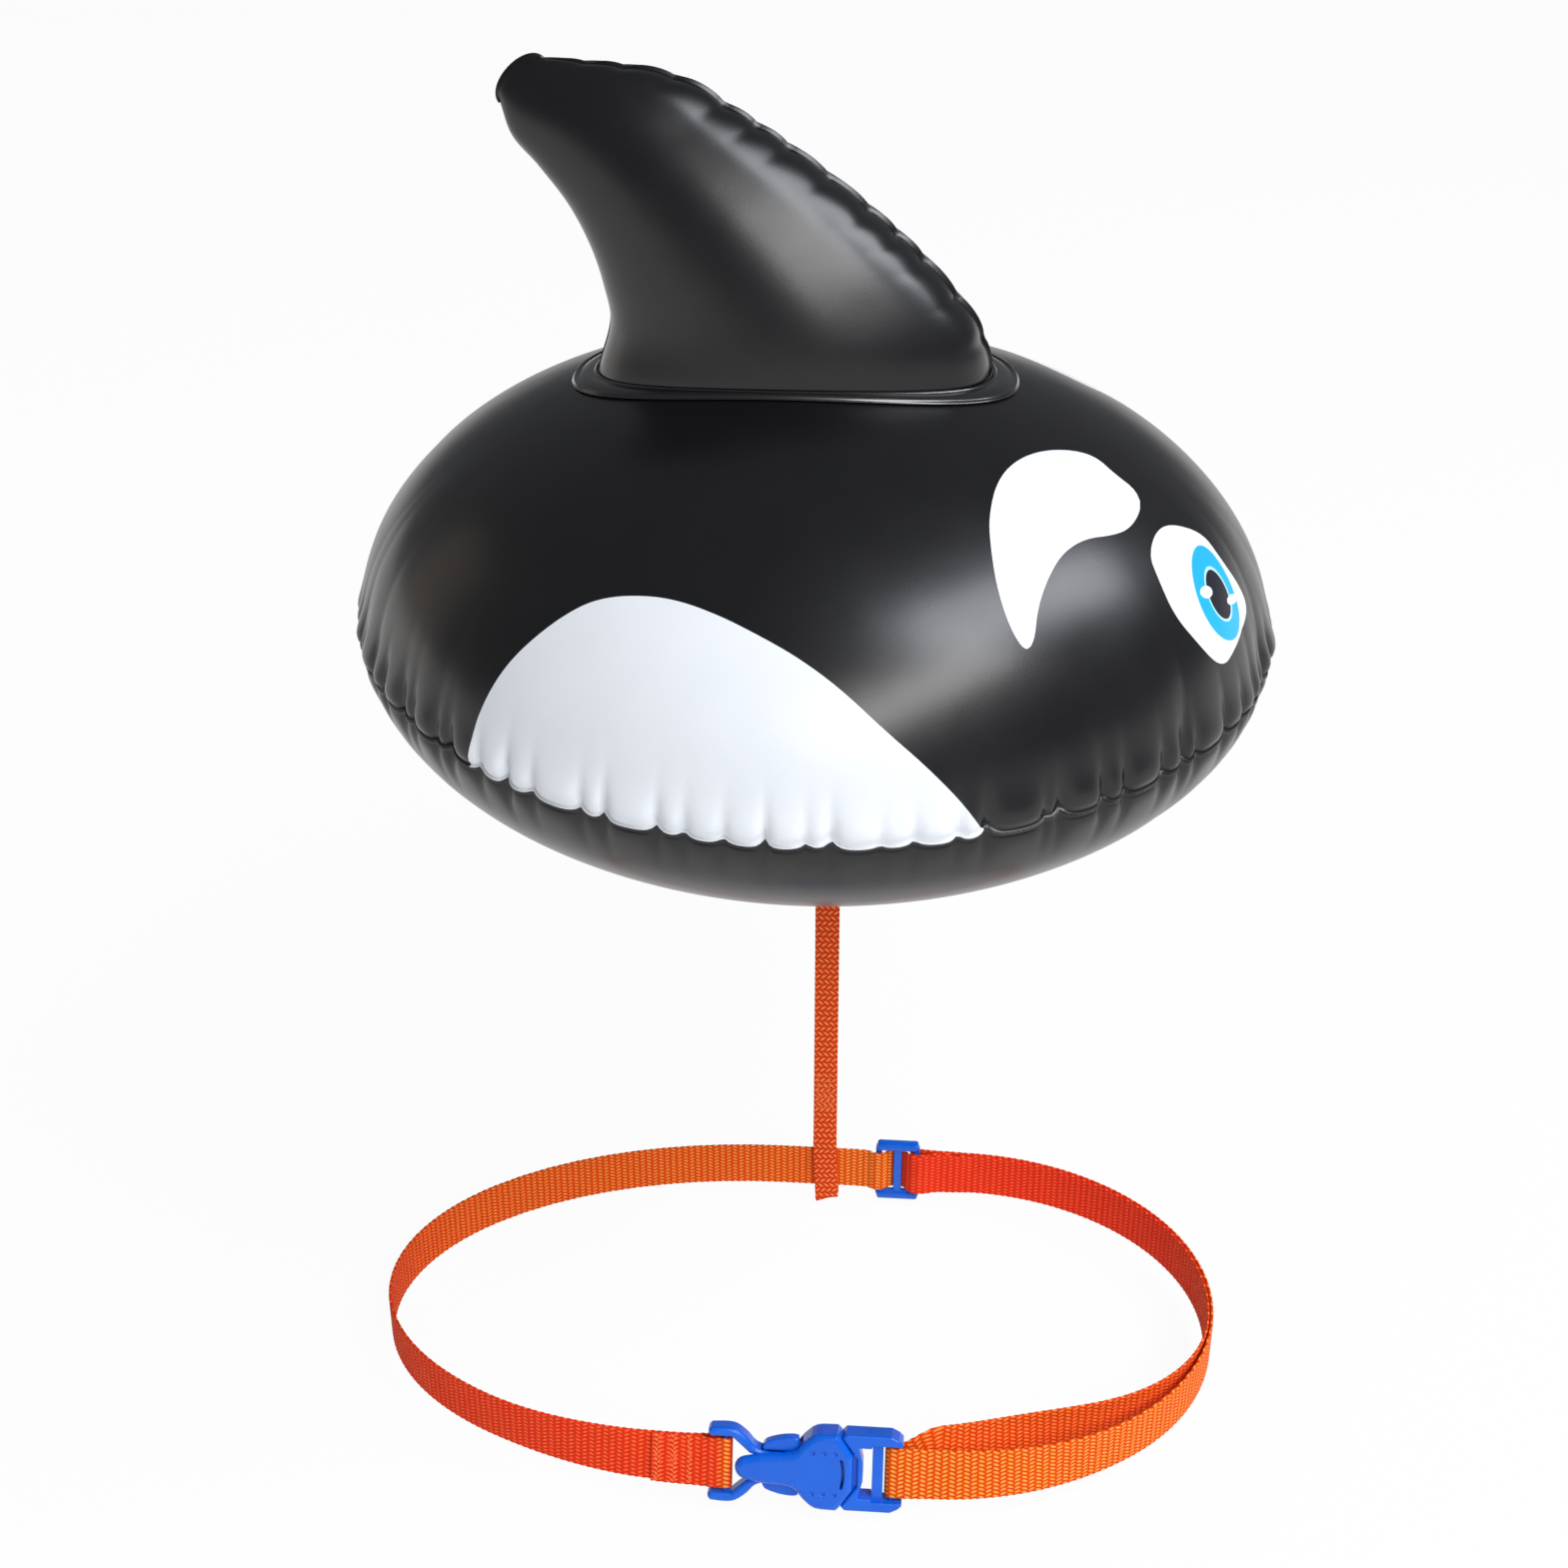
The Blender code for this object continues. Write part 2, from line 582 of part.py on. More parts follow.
def make_valve(place):
    bore = STEM_RADIUS + GAP
    turned(
        "valve_flange",
        [
            (bore, GAP + VALVE_BOSS_HEIGHT),
            (VALVE_BOSS_RADIUS, GAP + VALVE_BOSS_HEIGHT),
            (VALVE_BOSS_RADIUS, GAP + VALVE_DISC_THICKNESS),
            (VALVE_DISC_RADIUS, GAP + VALVE_DISC_THICKNESS / 2 - VALVE_DISC_DROP),
            (VALVE_DISC_RADIUS, GAP - VALVE_DISC_DROP),
            (VALVE_SLEEVE_RADIUS, GAP),
            (VALVE_SLEEVE_RADIUS, -VALVE_SLEEVE_LENGTH),
            (bore, -VALVE_SLEEVE_LENGTH),
        ],
        BLACK_MOULDING,
        place,
    )
    stem = turned(
        "valve_stem",
        [
            (STEM_BORE_RADIUS, STEM_TOP),
            (STEM_RIM_RADIUS, STEM_TOP),
            (STEM_RIM_RADIUS, STEM_TOP - STEM_RIM_THICKNESS),
            (STEM_RADIUS, STEM_TOP - STEM_RIM_THICKNESS),
            (STEM_RADIUS, STEM_BOTTOM + STEM_STOP_THICKNESS),
            (STEM_STOP_RADIUS, STEM_BOTTOM + STEM_STOP_THICKNESS),
            (STEM_STOP_RADIUS, STEM_BOTTOM),
            (STEM_BORE_RADIUS, STEM_BOTTOM),
        ],
        BLACK_MOULDING,
        place,
    )
    plug = turned(
        "valve_plug",
        [
            (0.0, PLUG_HINGE_Z + PLUG_CAP_THICKNESS / 2),
            (PLUG_CAP_RADIUS, PLUG_HINGE_Z + PLUG_CAP_THICKNESS / 2),
            (PLUG_CAP_RADIUS, PLUG_HINGE_Z - PLUG_CAP_THICKNESS / 2),
            (PLUG_SPIGOT_RADIUS, PLUG_HINGE_Z - PLUG_CAP_THICKNESS / 2),
            (PLUG_TIP_RADIUS, STEM_TOP + GAP - PLUG_SPIGOT_LENGTH),
            (0.0, STEM_TOP + GAP - PLUG_SPIGOT_LENGTH),
        ],
        BLACK_MOULDING,
        place,
    )
    half_strap = PLUG_STRAP_WIDTH / 2
    low = (PLUG_CAP_RADIUS / 2, -half_strap, PLUG_HINGE_Z - PLUG_CAP_THICKNESS / 2)
    high = (PLUG_HINGE_OFFSET, half_strap, PLUG_HINGE_Z + PLUG_CAP_THICKNESS / 2)
    strap = cutter("plug_strap", box_mesh(low, high))
    strap.matrix_world = place
    boolean(plug, strap, "UNION")
    ends = [(PLUG_HINGE_OFFSET, side * half_strap, PLUG_HINGE_Z) for side in (-1, 1)]
    knuckle = cutter("plug_knuckle", rod_mesh(PLUG_CAP_THICKNESS / 2, *ends, steps=12))
    knuckle.matrix_world = place
    boolean(plug, knuckle, "UNION")
    lug_left = PLUG_HINGE_OFFSET + PLUG_CAP_THICKNESS / 2 + GAP
    lug_low = (lug_left, -half_strap, STEM_TOP - STEM_RIM_THICKNESS)
    lug_high = (STEM_RIM_RADIUS + OVERRUN / 2, half_strap, PLUG_HINGE_Z)
    lug = cutter("stem_lug", box_mesh(lug_low, lug_high))
    lug.matrix_world = place
    boolean(stem, lug, "UNION")
    turned(
        "valve_flap",
        [
            (0.0, STEM_BOTTOM - GAP),
            (FLAP_RADIUS, STEM_BOTTOM - GAP),
            (FLAP_RADIUS, STEM_BOTTOM - GAP - FLAP_THICKNESS),
            (0.0, STEM_BOTTOM - GAP - FLAP_THICKNESS),
        ],
        BLACK_MOULDING,
        place,
    )


def cut_valve_hole(panel, place):
    ends = [place @ Vector((0.0, 0.0, side * STEM_LENGTH)) for side in (-1, 1)]
    hole = cutter("valve_hole", rod_mesh(VALVE_SLEEVE_RADIUS + GAP, *ends))
    boolean(panel, hole, "DIFFERENCE")


# Tether and its anchor

KEEL_Z = hull_height(TETHER_X, 0.0, -HULL_KEEL) - SKIN_LIFT
PATCH_TOP = KEEL_Z - GAP
PATCH_BOTTOM = PATCH_TOP - PATCH_THICKNESS
BRIDGE_Z = PATCH_BOTTOM - BRIDGE_DROP


def make_anchor():
    """A welded disc with a moulded staple-shaped bridge under it."""
    place = Matrix.Translation((TETHER_X, 0.0, 0.0))
    disc = turned(
        "tether_anchor_patch",
        [
            (0.0, PATCH_TOP),
            (PATCH_RADIUS, PATCH_TOP),
            (PATCH_RADIUS - PATCH_CHAMFER, PATCH_BOTTOM),
            (0.0, PATCH_BOTTOM),
        ],
        BLACK_MOULDING,
        place,
        steps=36,
    )
    leg = TETHER_WIDTH / 2 + TETHER_SLACK + BRIDGE_BEND
    bend = arc((BRIDGE_BEND - leg, BRIDGE_Z + BRIDGE_BEND), (BRIDGE_BEND, BRIDGE_BEND), 180, 270, 3)
    route = [(-leg, PATCH_BOTTOM + PATCH_THICKNESS / 2)] + [tuple(p) for p in bend]
    route += [(-x, z) for x, z in route[::-1]]
    curve = bpy.data.curves.new("bridge", "CURVE")
    curve.dimensions = "3D"
    curve.bevel_depth = BRIDGE_ROD_RADIUS
    curve.bevel_resolution = 2
    curve.use_fill_caps = True
    spline = curve.splines.new("POLY")
    spline.points.add(len(route) - 1)
    for point, (x, z) in zip(spline.points, route):
        point.co = (TETHER_X + x, 0.0, z, 1.0)
    holder = bpy.data.objects.new("bridge", curve)
    BUOY.objects.link(holder)
    bpy.context.view_layer.update()
    mesh = bpy.data.meshes.new_from_object(holder.evaluated_get(bpy.context.evaluated_depsgraph_get()))
    bpy.data.objects.remove(holder)
    boolean(disc, cutter("anchor_bridge", welded(mesh)), "UNION")


def strap(name, centres, across, width, thickness, material=ORANGE_WEBBING):
    """Flat webbing along a line of centres; across gives the unit direction of its width at each."""
    half = width / 2
    rows = [[c - w * half, c + w * half] for c, w in zip(map(Vector, centres), map(Vector, across))]

    def build(shape):
        grid = [[shape.verts.new(p) for p in row] for row in rows]
        for (a, b), (c, d) in zip(grid, grid[1:]):
            shape.faces.new((a, b, d, c))

    made = piece(name, mesh_of(build), material, smooth_angle=50)
    solid = made.modifiers.new("webbing", "SOLIDIFY")
    solid.thickness = thickness
    solid.offset = 0
    solid.use_even_offset = True
    return made


def make_tether():
    """One length of narrow webbing: over the bridge, down, round the belt and back up, its ends stitched."""
    half = TETHER_THICKNESS / 2
    bridge_radius = BRIDGE_ROD_RADIUS + TETHER_SLACK + half
    ply = half + TETHER_SLACK / 2
    front = WEBBING_THICKNESS / 2 + TETHER_SLACK + half
    belt_top = BELT_Z + HALF_WEBBING
    belt_bottom = BELT_Z - HALF_WEBBING
    top_end = BRIDGE_Z - TETHER_TOP_TAIL
    loop_end = belt_top + TETHER_LOOP_TAIL
    hang = belt_bottom - TETHER_LOOP_HANG + front
    join = TETHER_THICKNESS * 3
    route = [(ply, top_end), (ply, BRIDGE_Z - 4 * bridge_radius), (bridge_radius, BRIDGE_Z)]
    route += [tuple(p) for p in arc((0.0, BRIDGE_Z), (bridge_radius, bridge_radius), 30, 180, 5)]
    route += [(-ply, BRIDGE_Z - 4 * bridge_radius), (-ply, top_end - join), (0.0, top_end - 3 * join)]
    middle = (top_end + loop_end) / 2
    route += [(0.0, middle), (0.0, loop_end + 3 * join), (-ply, loop_end + join)]
    route += [(-ply, belt_top + 4 * join), (-front, belt_top + join), (-front, belt_bottom)]
    route += [tuple(p) for p in arc((0.0, hang), (front, front), 180, 360, 6)]
    route += [(front, belt_bottom), (front, belt_top + join), (ply, belt_top + 4 * join), (ply, loop_end)]
    centres = [(TETHER_X, y, z) for y, z in route]
    strap("tether_strap", centres, [(1.0, 0.0, 0.0)] * len(route), TETHER_WIDTH, TETHER_THICKNESS)


# Belt

BELT_LEFT = BELT_CENTRE_X - BELT_WIDTH / 2
BELT_RIGHT = BELT_CENTRE_X + BELT_WIDTH / 2
BACK_LEFT = TETHER_X - TETHER_WIDTH / 2 - BELT_TRAVEL - STRAIGHT_MARGIN
BACK_RIGHT = GLIDE_X + GLIDE_WIDTH / 2 + GLIDE_TRAVEL_RIGHT + STRAIGHT_MARGIN
FRONT_LEFT = BUCKLE_X + SOCKET_END - STRAIGHT_MARGIN
FRONT_RIGHT = BUCKLE_X + PLUG_END + 2 * STRAIGHT_MARGIN


def belt_loop():
    """The belt's plan line, from the buckle's middle left round the back and home, with its running length."""
    left = (FRONT_LEFT, BELT_LEFT_END_Y), (FRONT_LEFT - BELT_LEFT, BELT_DEPTH + BELT_LEFT_END_Y)
    left_back = (BACK_LEFT, BELT_LEFT_END_Y), (BACK_LEFT - BELT_LEFT, -BELT_LEFT_END_Y)
    right_back = (BACK_RIGHT, BELT_RIGHT_END_Y), (BELT_RIGHT - BACK_RIGHT, -BELT_RIGHT_END_Y)
    right = (FRONT_RIGHT, BELT_RIGHT_END_Y), (BELT_RIGHT - FRONT_RIGHT, BELT_DEPTH + BELT_RIGHT_END_Y)
    dense = CURVE_STEPS * 8
    line = np.concatenate(
        [
            [(BUCKLE_X, BUCKLE_Y)],
            arc(*left, 270, 180, dense),
            arc(*left_back, 180, 90, dense)[1:],
            arc(*right_back, 90, 0, dense),
            arc(*right, 360, 270, dense)[1:],
            [(BUCKLE_X, BUCKLE_Y)],
        ]
    )
    reach = np.concatenate([[0.0], np.cumsum(np.linalg.norm(np.diff(line, axis=0), axis=1))])
    return line, reach


LOOP, REACH = belt_loop()
ROUND = REACH[-1]


def back_reach(x):
    """Running length at a place on the belt's straight back."""
    corner = 1 + 2 * CURVE_STEPS * 8
    return REACH[corner] + x - BACK_LEFT


def belt_lean(reach):
    """How far the belt leans back at a running length, in radians: as the buckle does, then less and less."""
    beside = max(0.0, min(reach + SOCKET_END, ROUND - reach - PLUG_END))
    share = min(1.0, beside / LEAN_FADE)
    return math.radians(BUCKLE_LEAN) * (1 - share * share * (3 - 2 * share))


def belt_frame(reach):
    """The middle of the webbing at a running length, with its outward and upward directions."""
    x = np.interp(reach, REACH, LOOP[:, 0])
    y = np.interp(reach, REACH, LOOP[:, 1])
    step = WEBBING_THICKNESS
    ahead, behind = min(reach + step, ROUND), max(reach - step, 0.0)
    along_x = np.interp(ahead, REACH, LOOP[:, 0]) - np.interp(behind, REACH, LOOP[:, 0])
    along_y = np.interp(ahead, REACH, LOOP[:, 1]) - np.interp(behind, REACH, LOOP[:, 1])
    length = math.hypot(along_x, along_y)
    level = Vector((-along_y / length, along_x / length, 0.0))
    lean = belt_lean(reach)
    above = Vector((0.0, 0.0, 1.0))
    out = level * math.cos(lean) + above * math.sin(lean)
    return Vector((x, y, BELT_Z)), out, above * math.cos(lean) - level * math.sin(lean)


def on_belt(reach, out, up):
    """World point at a running length, moved outwards from the waist and up from the webbing's middle."""
    middle, outwards, upwards = belt_frame(reach)
    return middle + outwards * out + upwards * up


def belt_strap(name, stations):
    """Belt webbing through stations of running length, outward offset and rise."""
    centres = [on_belt(*station) for station in stations]
    across = [belt_frame(station[0])[2] for station in stations]
    strap(name, centres, across, WEBBING_WIDTH, WEBBING_THICKNESS)


def steps_between(start, end):
    """Running lengths from start to end, about a webbing step apart, without the two ends."""
    count = max(2, round(abs(end - start) / WEBBING_STEP))
    return [start + (end - start) * k / count for k in range(1, count)]


def fold(reach, radius, first, last, steps=6):
    """A turn of webbing round a bar; angles in degrees from straight on, 90 being outwards."""
    return [(reach + p[0], p[1], 0.0) for p in arc((0.0, 0.0), (radius, radius), first, last, steps)]


def make_belt():
    bar = -SOCKET_BAR_X
    tail_end = bar + TAIL_OF_SEWN_END + SEWN_RUN_OUT
    near, run = bar + WEBBING_THICKNESS * 4, bar + SEWN_RUN_OUT
    back_end = back_reach(TETHER_X + TETHER_WIDTH / 2 + 4 * TETHER_SLACK)
    main = [(tail_end, PLY_OFFSET, 0.0), (run, PLY_OFFSET, 0.0), (near, FOLD_RADIUS - PLY_CLEARANCE, 0.0)]
    main += [(bar - x, out, up) for x, out, up in fold(0.0, FOLD_RADIUS, 90, -90)]
    main += [(near, -FOLD_RADIUS + PLY_CLEARANCE, 0.0), (run, -PLY_OFFSET, 0.0), (tail_end, -PLY_OFFSET, 0.0)]
    settled = tail_end + SEWN_RUN_OUT
    main += [(settled, 0.0, 0.0)] + [(at, 0.0, 0.0) for at in steps_between(settled, back_end)]
    main += [(back_end, 0.0, 0.0)]
    belt_strap("belt_webbing", main)

    plug_bar = ROUND - PLUG_BAR_X
    right_back = back_reach(BACK_RIGHT)
    glide = back_reach(GLIDE_X)
    half_bar, half_slot = GLIDE_CENTRE_BAR_WIDTH / 2, GLIDE_WIDTH / 2 - GLIDE_BAR_WIDTH
    front_of_wrap = WRAP_DEPTH + WEBBING_THICKNESS + PLY_CLEARANCE + GAP
    three_ply = WEBBING_THICKNESS + PLY_CLEARANCE + GAP / 2
    wrap_middle = GLIDE_WIDTH / 2 - GLIDE_BAR_WIDTH / 2
    free_end = glide + WRAP_TAIL + GLIDE_WIDTH / 4
    past_end = free_end + WEBBING_THICKNESS
    settle = past_end + GLIDE_WIDTH / 2
    inner = [(back_end + GAP, 0.0, 0.0), (glide - GLIDE_WIDTH / 2 - 4 * WEBBING_THICKNESS, 0.0, 0.0)]
    inner += [(glide - GLIDE_WIDTH / 2 - WEBBING_THICKNESS, -WEAVE_DEPTH, 0.0)]
    inner += [(glide - half_slot + WEAVE_LEAD, -WEAVE_DEPTH, 0.0)]
    inner += [(glide - half_bar - WEAVE_LEAD, WEAVE_DEPTH, 0.0)]
    inner += [(glide + half_bar + WEAVE_LEAD, WEAVE_DEPTH, 0.0)]
    inner += [(glide + half_slot - 2 * WEAVE_LEAD, -front_of_wrap, 0.0)]
    inner += [(glide + GLIDE_WIDTH / 2 + WEBBING_THICKNESS, -front_of_wrap, 0.0)]
    inner += [(glide + WRAP_TAIL, -three_ply, 0.0), (past_end, -three_ply, 0.0), (settle, -PLY_OFFSET, 0.0)]
    bulge_start = (right_back + plug_bar) / 2
    fold_start = plug_bar - 5 * WEBBING_THICKNESS
    for at in steps_between(settle, fold_start):
        share = max(0.0, (at - bulge_start) / (fold_start - bulge_start))
        swell = math.sin(math.pi * share**PLY_BULGE_SKEW) ** PLY_BULGE_POWER
        rise = INNER_PLY_RISE * math.sin(math.pi / 2 * share) * math.sqrt(swell)
        inner.append((at, -PLY_OFFSET - INNER_PLY_BULGE * swell, rise))
    inner += [(fold_start, -FOLD_RADIUS, 0.0), (plug_bar, -FOLD_RADIUS, 0.0)]
    belt_strap("adjuster_webbing_inner", inner)

    outer = fold(plug_bar, FOLD_RADIUS, -80, 90)
    outer += [(fold_start, FOLD_RADIUS, 0.0), (fold_start - SEWN_RUN_OUT, PLY_OFFSET, 0.0)]
    outer += [(at, PLY_OFFSET, 0.0) for at in steps_between(fold_start - SEWN_RUN_OUT, settle)]
    outer += [(settle, PLY_OFFSET, 0.0), (past_end, three_ply, 0.0), (glide + WRAP_TAIL, three_ply, 0.0)]
    outer += [(glide + wrap_middle + 2 * WEBBING_THICKNESS, WRAP_DEPTH, 0.0)]
    wrap = arc((glide + wrap_middle, 0.0), (WRAP_LENGTH, WRAP_DEPTH), 90, 270, 8)
    outer += [(x, out, 0.0) for x, out in wrap]
    outer += [(glide + wrap_middle + 2 * WEBBING_THICKNESS, -WRAP_DEPTH, 0.0)]
    outer += [(glide + WRAP_TAIL - WEBBING_THICKNESS, 0.0, 0.0), (free_end, 0.0, 0.0)]
    belt_strap("adjuster_webbing_outer", outer)


# Buckle


def mirrored(upper):
    """A closed outline from its upper half, which runs from right to left."""
    return [tuple(p) for p in upper] + [(x, -z) for x, z in reversed(upper) if z > 0]


def place_buckle(made):
    made.location = (BUCKLE_X, BUCKLE_Y, BELT_Z)
    made.rotation_euler.x = -math.radians(BUCKLE_LEAN)
    return made


def bar_mesh(x, half_height):
    return rod_mesh(BAR_RADIUS, (x, 0.0, -half_height), (x, 0.0, half_height), steps=12)


def round_box(low, high, width):
    """A box with its edges rounded."""

    def build(shape):
        size = Vector(high) - Vector(low)
        place = Matrix.Translation((Vector(high) + Vector(low)) / 2) @ Matrix.Diagonal((*size, 1.0))
        bmesh.ops.create_cube(shape, size=1, matrix=place)
        bmesh.ops.bevel(shape, geom=shape.edges[:], offset=width, segments=2, profile=0.5, affect="EDGES")

    return mesh_of(build)


def mouth_outline():
    """The mouth's lip, from its middle to the hood's corner."""
    corner = (MOUTH_SHOULDER, BUCKLE_HEIGHT / 2 - BUCKLE_ROUNDING)
    return [(MOUTH_REACH, 0.0), (MOUTH_REACH, MOUTH_FLAT_HALF_HEIGHT), corner]


def hood_shoulder():
    """The curve from the hood's top down to the waist."""
    half = BUCKLE_HEIGHT / 2
    hood_left = MOUTH_SHOULDER - HOOD_LENGTH
    return [
        (MOUTH_SHOULDER - BUCKLE_ROUNDING, half),
        (hood_left + HOOD_LENGTH / 3, half - BUCKLE_ROUNDING / 3),
        (hood_left, WAIST_HALF_HEIGHT + (half - WAIST_HALF_HEIGHT) * HOOD_SHOULDER_SHARE),
        (hood_left - HOOD_LENGTH / 3, WAIST_HALF_HEIGHT + BUCKLE_ROUNDING / 3),
    ]


def socket_outline():
    """Upper half of the socket's outline, from the mouth to the tip of its hook."""
    waist = [
        (CHAMBER_LEFT + HOOD_LENGTH / 3, WAIST_HALF_HEIGHT),
        (CHAMBER_LEFT - BUCKLE_ROUNDING, WAIST_HALF_HEIGHT + BUCKLE_ROUNDING),
        (SOCKET_BAR_X + 4 * FOLD_RADIUS, HOOK_HALF_HEIGHT * HOOK_SHARE),
        (SOCKET_BAR_X + 2 * FOLD_RADIUS, HOOK_HALF_HEIGHT - BUCKLE_ROUNDING / 2),
        (SOCKET_BAR_X, HOOK_HALF_HEIGHT),
        (SOCKET_END + HOOK_CHAMFER, HOOK_HALF_HEIGHT - HOOK_CHAMFER / 3),
    ]
    side = [tuple(p) for p in smooth_line(hood_shoulder() + waist, BUCKLE_CURVE_STEPS)]
    tip = [(SOCKET_END, HOOK_HALF_HEIGHT - 3 * HOOK_CHAMFER / 2)]
    tip += [(SOCKET_END, ARM_INNER_HALF_HEIGHT + HOOK_CHAMFER)]
    return mouth_outline() + side + tip


def make_socket():
    """The half that the prongs snap into: a hooded mouth, a waist that bares them and an open webbing frame."""
    upper = socket_outline()
    inner_top = [
        (SOCKET_END + HOOK_CHAMFER, ARM_INNER_HALF_HEIGHT),
        (SOCKET_BAR_X + FOLD_RADIUS, ARM_INNER_HALF_HEIGHT),
        (CHAMBER_LEFT - 3 * BUCKLE_ROUNDING, WAIST_HALF_HEIGHT - BUCKLE_ROUNDING),
        (CHAMBER_LEFT - SEAT_WALL, GUARD_HALF_HEIGHT - BUCKLE_ROUNDING),
    ]
    frame = [tuple(p) for p in upper] + inner_top
    outline = frame + [(x, -z) for x, z in reversed(frame) if z > 0]
    # The arms' edge stays a gap inside the hood's, so that no faces of the two coincide
    arms = flat_mesh([outline], ARM_DEPTH, BUCKLE_ROUNDING - GAP, inset=GAP)
    socket = piece("buckle_socket", arms, BLUE_PLASTIC)
    place_buckle(socket)

    hood_half = BUCKLE_HEIGHT / 2
    shoulder = smooth_line(hood_shoulder() + [(CHAMBER_LEFT, GUARD_HALF_HEIGHT)], BUCKLE_CURVE_STEPS)
    tongue = (GUARD_LEFT + GUARD_TIP_RADIUS, 0.0), (GUARD_TIP_RADIUS, GUARD_TIP_RADIUS)
    hood_upper = mouth_outline() + [tuple(p) for p in shoulder]
    hood_upper += [tuple(p) for p in arc(*tongue, 105, 180, BUCKLE_CURVE_STEPS + 1)[:-1]]
    hood_upper += [(GUARD_LEFT, 0.0)]
    hood_mesh = flat_mesh([mirrored(hood_upper)], HOOD_DEPTH, HOOD_ROUNDING, rounding_steps=2)
    hood = cutter("socket_hood", hood_mesh)
    place_buckle(hood)
    # Behind the guard the webbing's fold needs the room, so the raised body is cut back there
    fold_room = box_mesh(
        (GUARD_LEFT - OVERRUN, -ARM_DEPTH / 2 + GAP, -hood_half),
        (CHAMBER_LEFT - SEAT_WALL - GAP, HOOD_DEPTH, hood_half),
    )
    boolean(hood, place_buckle(cutter("fold_room", fold_room)), "DIFFERENCE")
    boolean(socket, hood, "UNION")
    bar = cutter("socket_bar", bar_mesh(SOCKET_BAR_X, ARM_INNER_HALF_HEIGHT + OVERRUN))
    boolean(socket, place_buckle(bar), "UNION")
    chamber = box_mesh(
        (CHAMBER_LEFT, -CHAMBER_HALF_DEPTH, -CHAMBER_HALF_HEIGHT),
        (MOUTH_REACH + OVERRUN, CHAMBER_HALF_DEPTH, CHAMBER_HALF_HEIGHT),
    )
    boolean(socket, place_buckle(cutter("socket_chamber", chamber)), "DIFFERENCE")
    # The waist bares the prongs above and below
    for side in (-1, 1):
        near, far = sorted((side * WAIST_HALF_HEIGHT, side * BUCKLE_HEIGHT))
        window = box_mesh(
            (CHAMBER_LEFT + GAP, -CHAMBER_HALF_DEPTH + GAP, near),
            (PRONG_SHOULDER_X + 2 * GAP, CHAMBER_HALF_DEPTH - GAP, far),
        )
        boolean(socket, place_buckle(cutter(f"socket_window_{side}", window)), "DIFFERENCE")
    cut_dimples(socket)
    return socket


def cut_dimples(socket):
    """Two rows of three thumb dimples in the hood's front, and the bowed slot beside the strip at its lip."""
    face = -HOOD_DEPTH / 2

    def build(shape):
        for row in (-1, 1):
            for k in range(3):
                spot = Matrix.Translation(
                    (DIMPLE_START_X + k * DIMPLE_PITCH, face, row * DIMPLE_ROW_HEIGHT)
                ) @ Matrix.Rotation(math.radians(90), 4, "X")
                bmesh.ops.create_cone(
                    shape,
                    cap_ends=True,
                    segments=8,
                    radius1=DIMPLE_RADIUS,
                    radius2=DIMPLE_RADIUS,
                    depth=2 * DIMPLE_DEPTH,
                    matrix=spot,
                )

    boolean(socket, place_buckle(cutter("dimples", mesh_of(build))), "DIFFERENCE")
    shares = np.linspace(-1, 1, 3 * BUCKLE_CURVE_STEPS)
    right = MOUTH_REACH - RIM_STRIP_WIDTH
    right_edge = [(right - RIM_SLOT_BOW * share**2, RIM_SLOT_HALF_HEIGHT * share) for share in shares]
    slot_outline = right_edge + [(x - RIM_SLOT_WIDTH, z) for x, z in right_edge[::-1]]
    slot = flat_mesh([slot_outline], HOOD_DEPTH, GAP)
    slot.transform(Matrix.Translation((0.0, -HOOD_DEPTH / 2 - CHAMBER_HALF_DEPTH + 2 * GAP, 0.0)))
    boolean(socket, place_buckle(cutter("rim_slot", slot)), "DIFFERENCE")


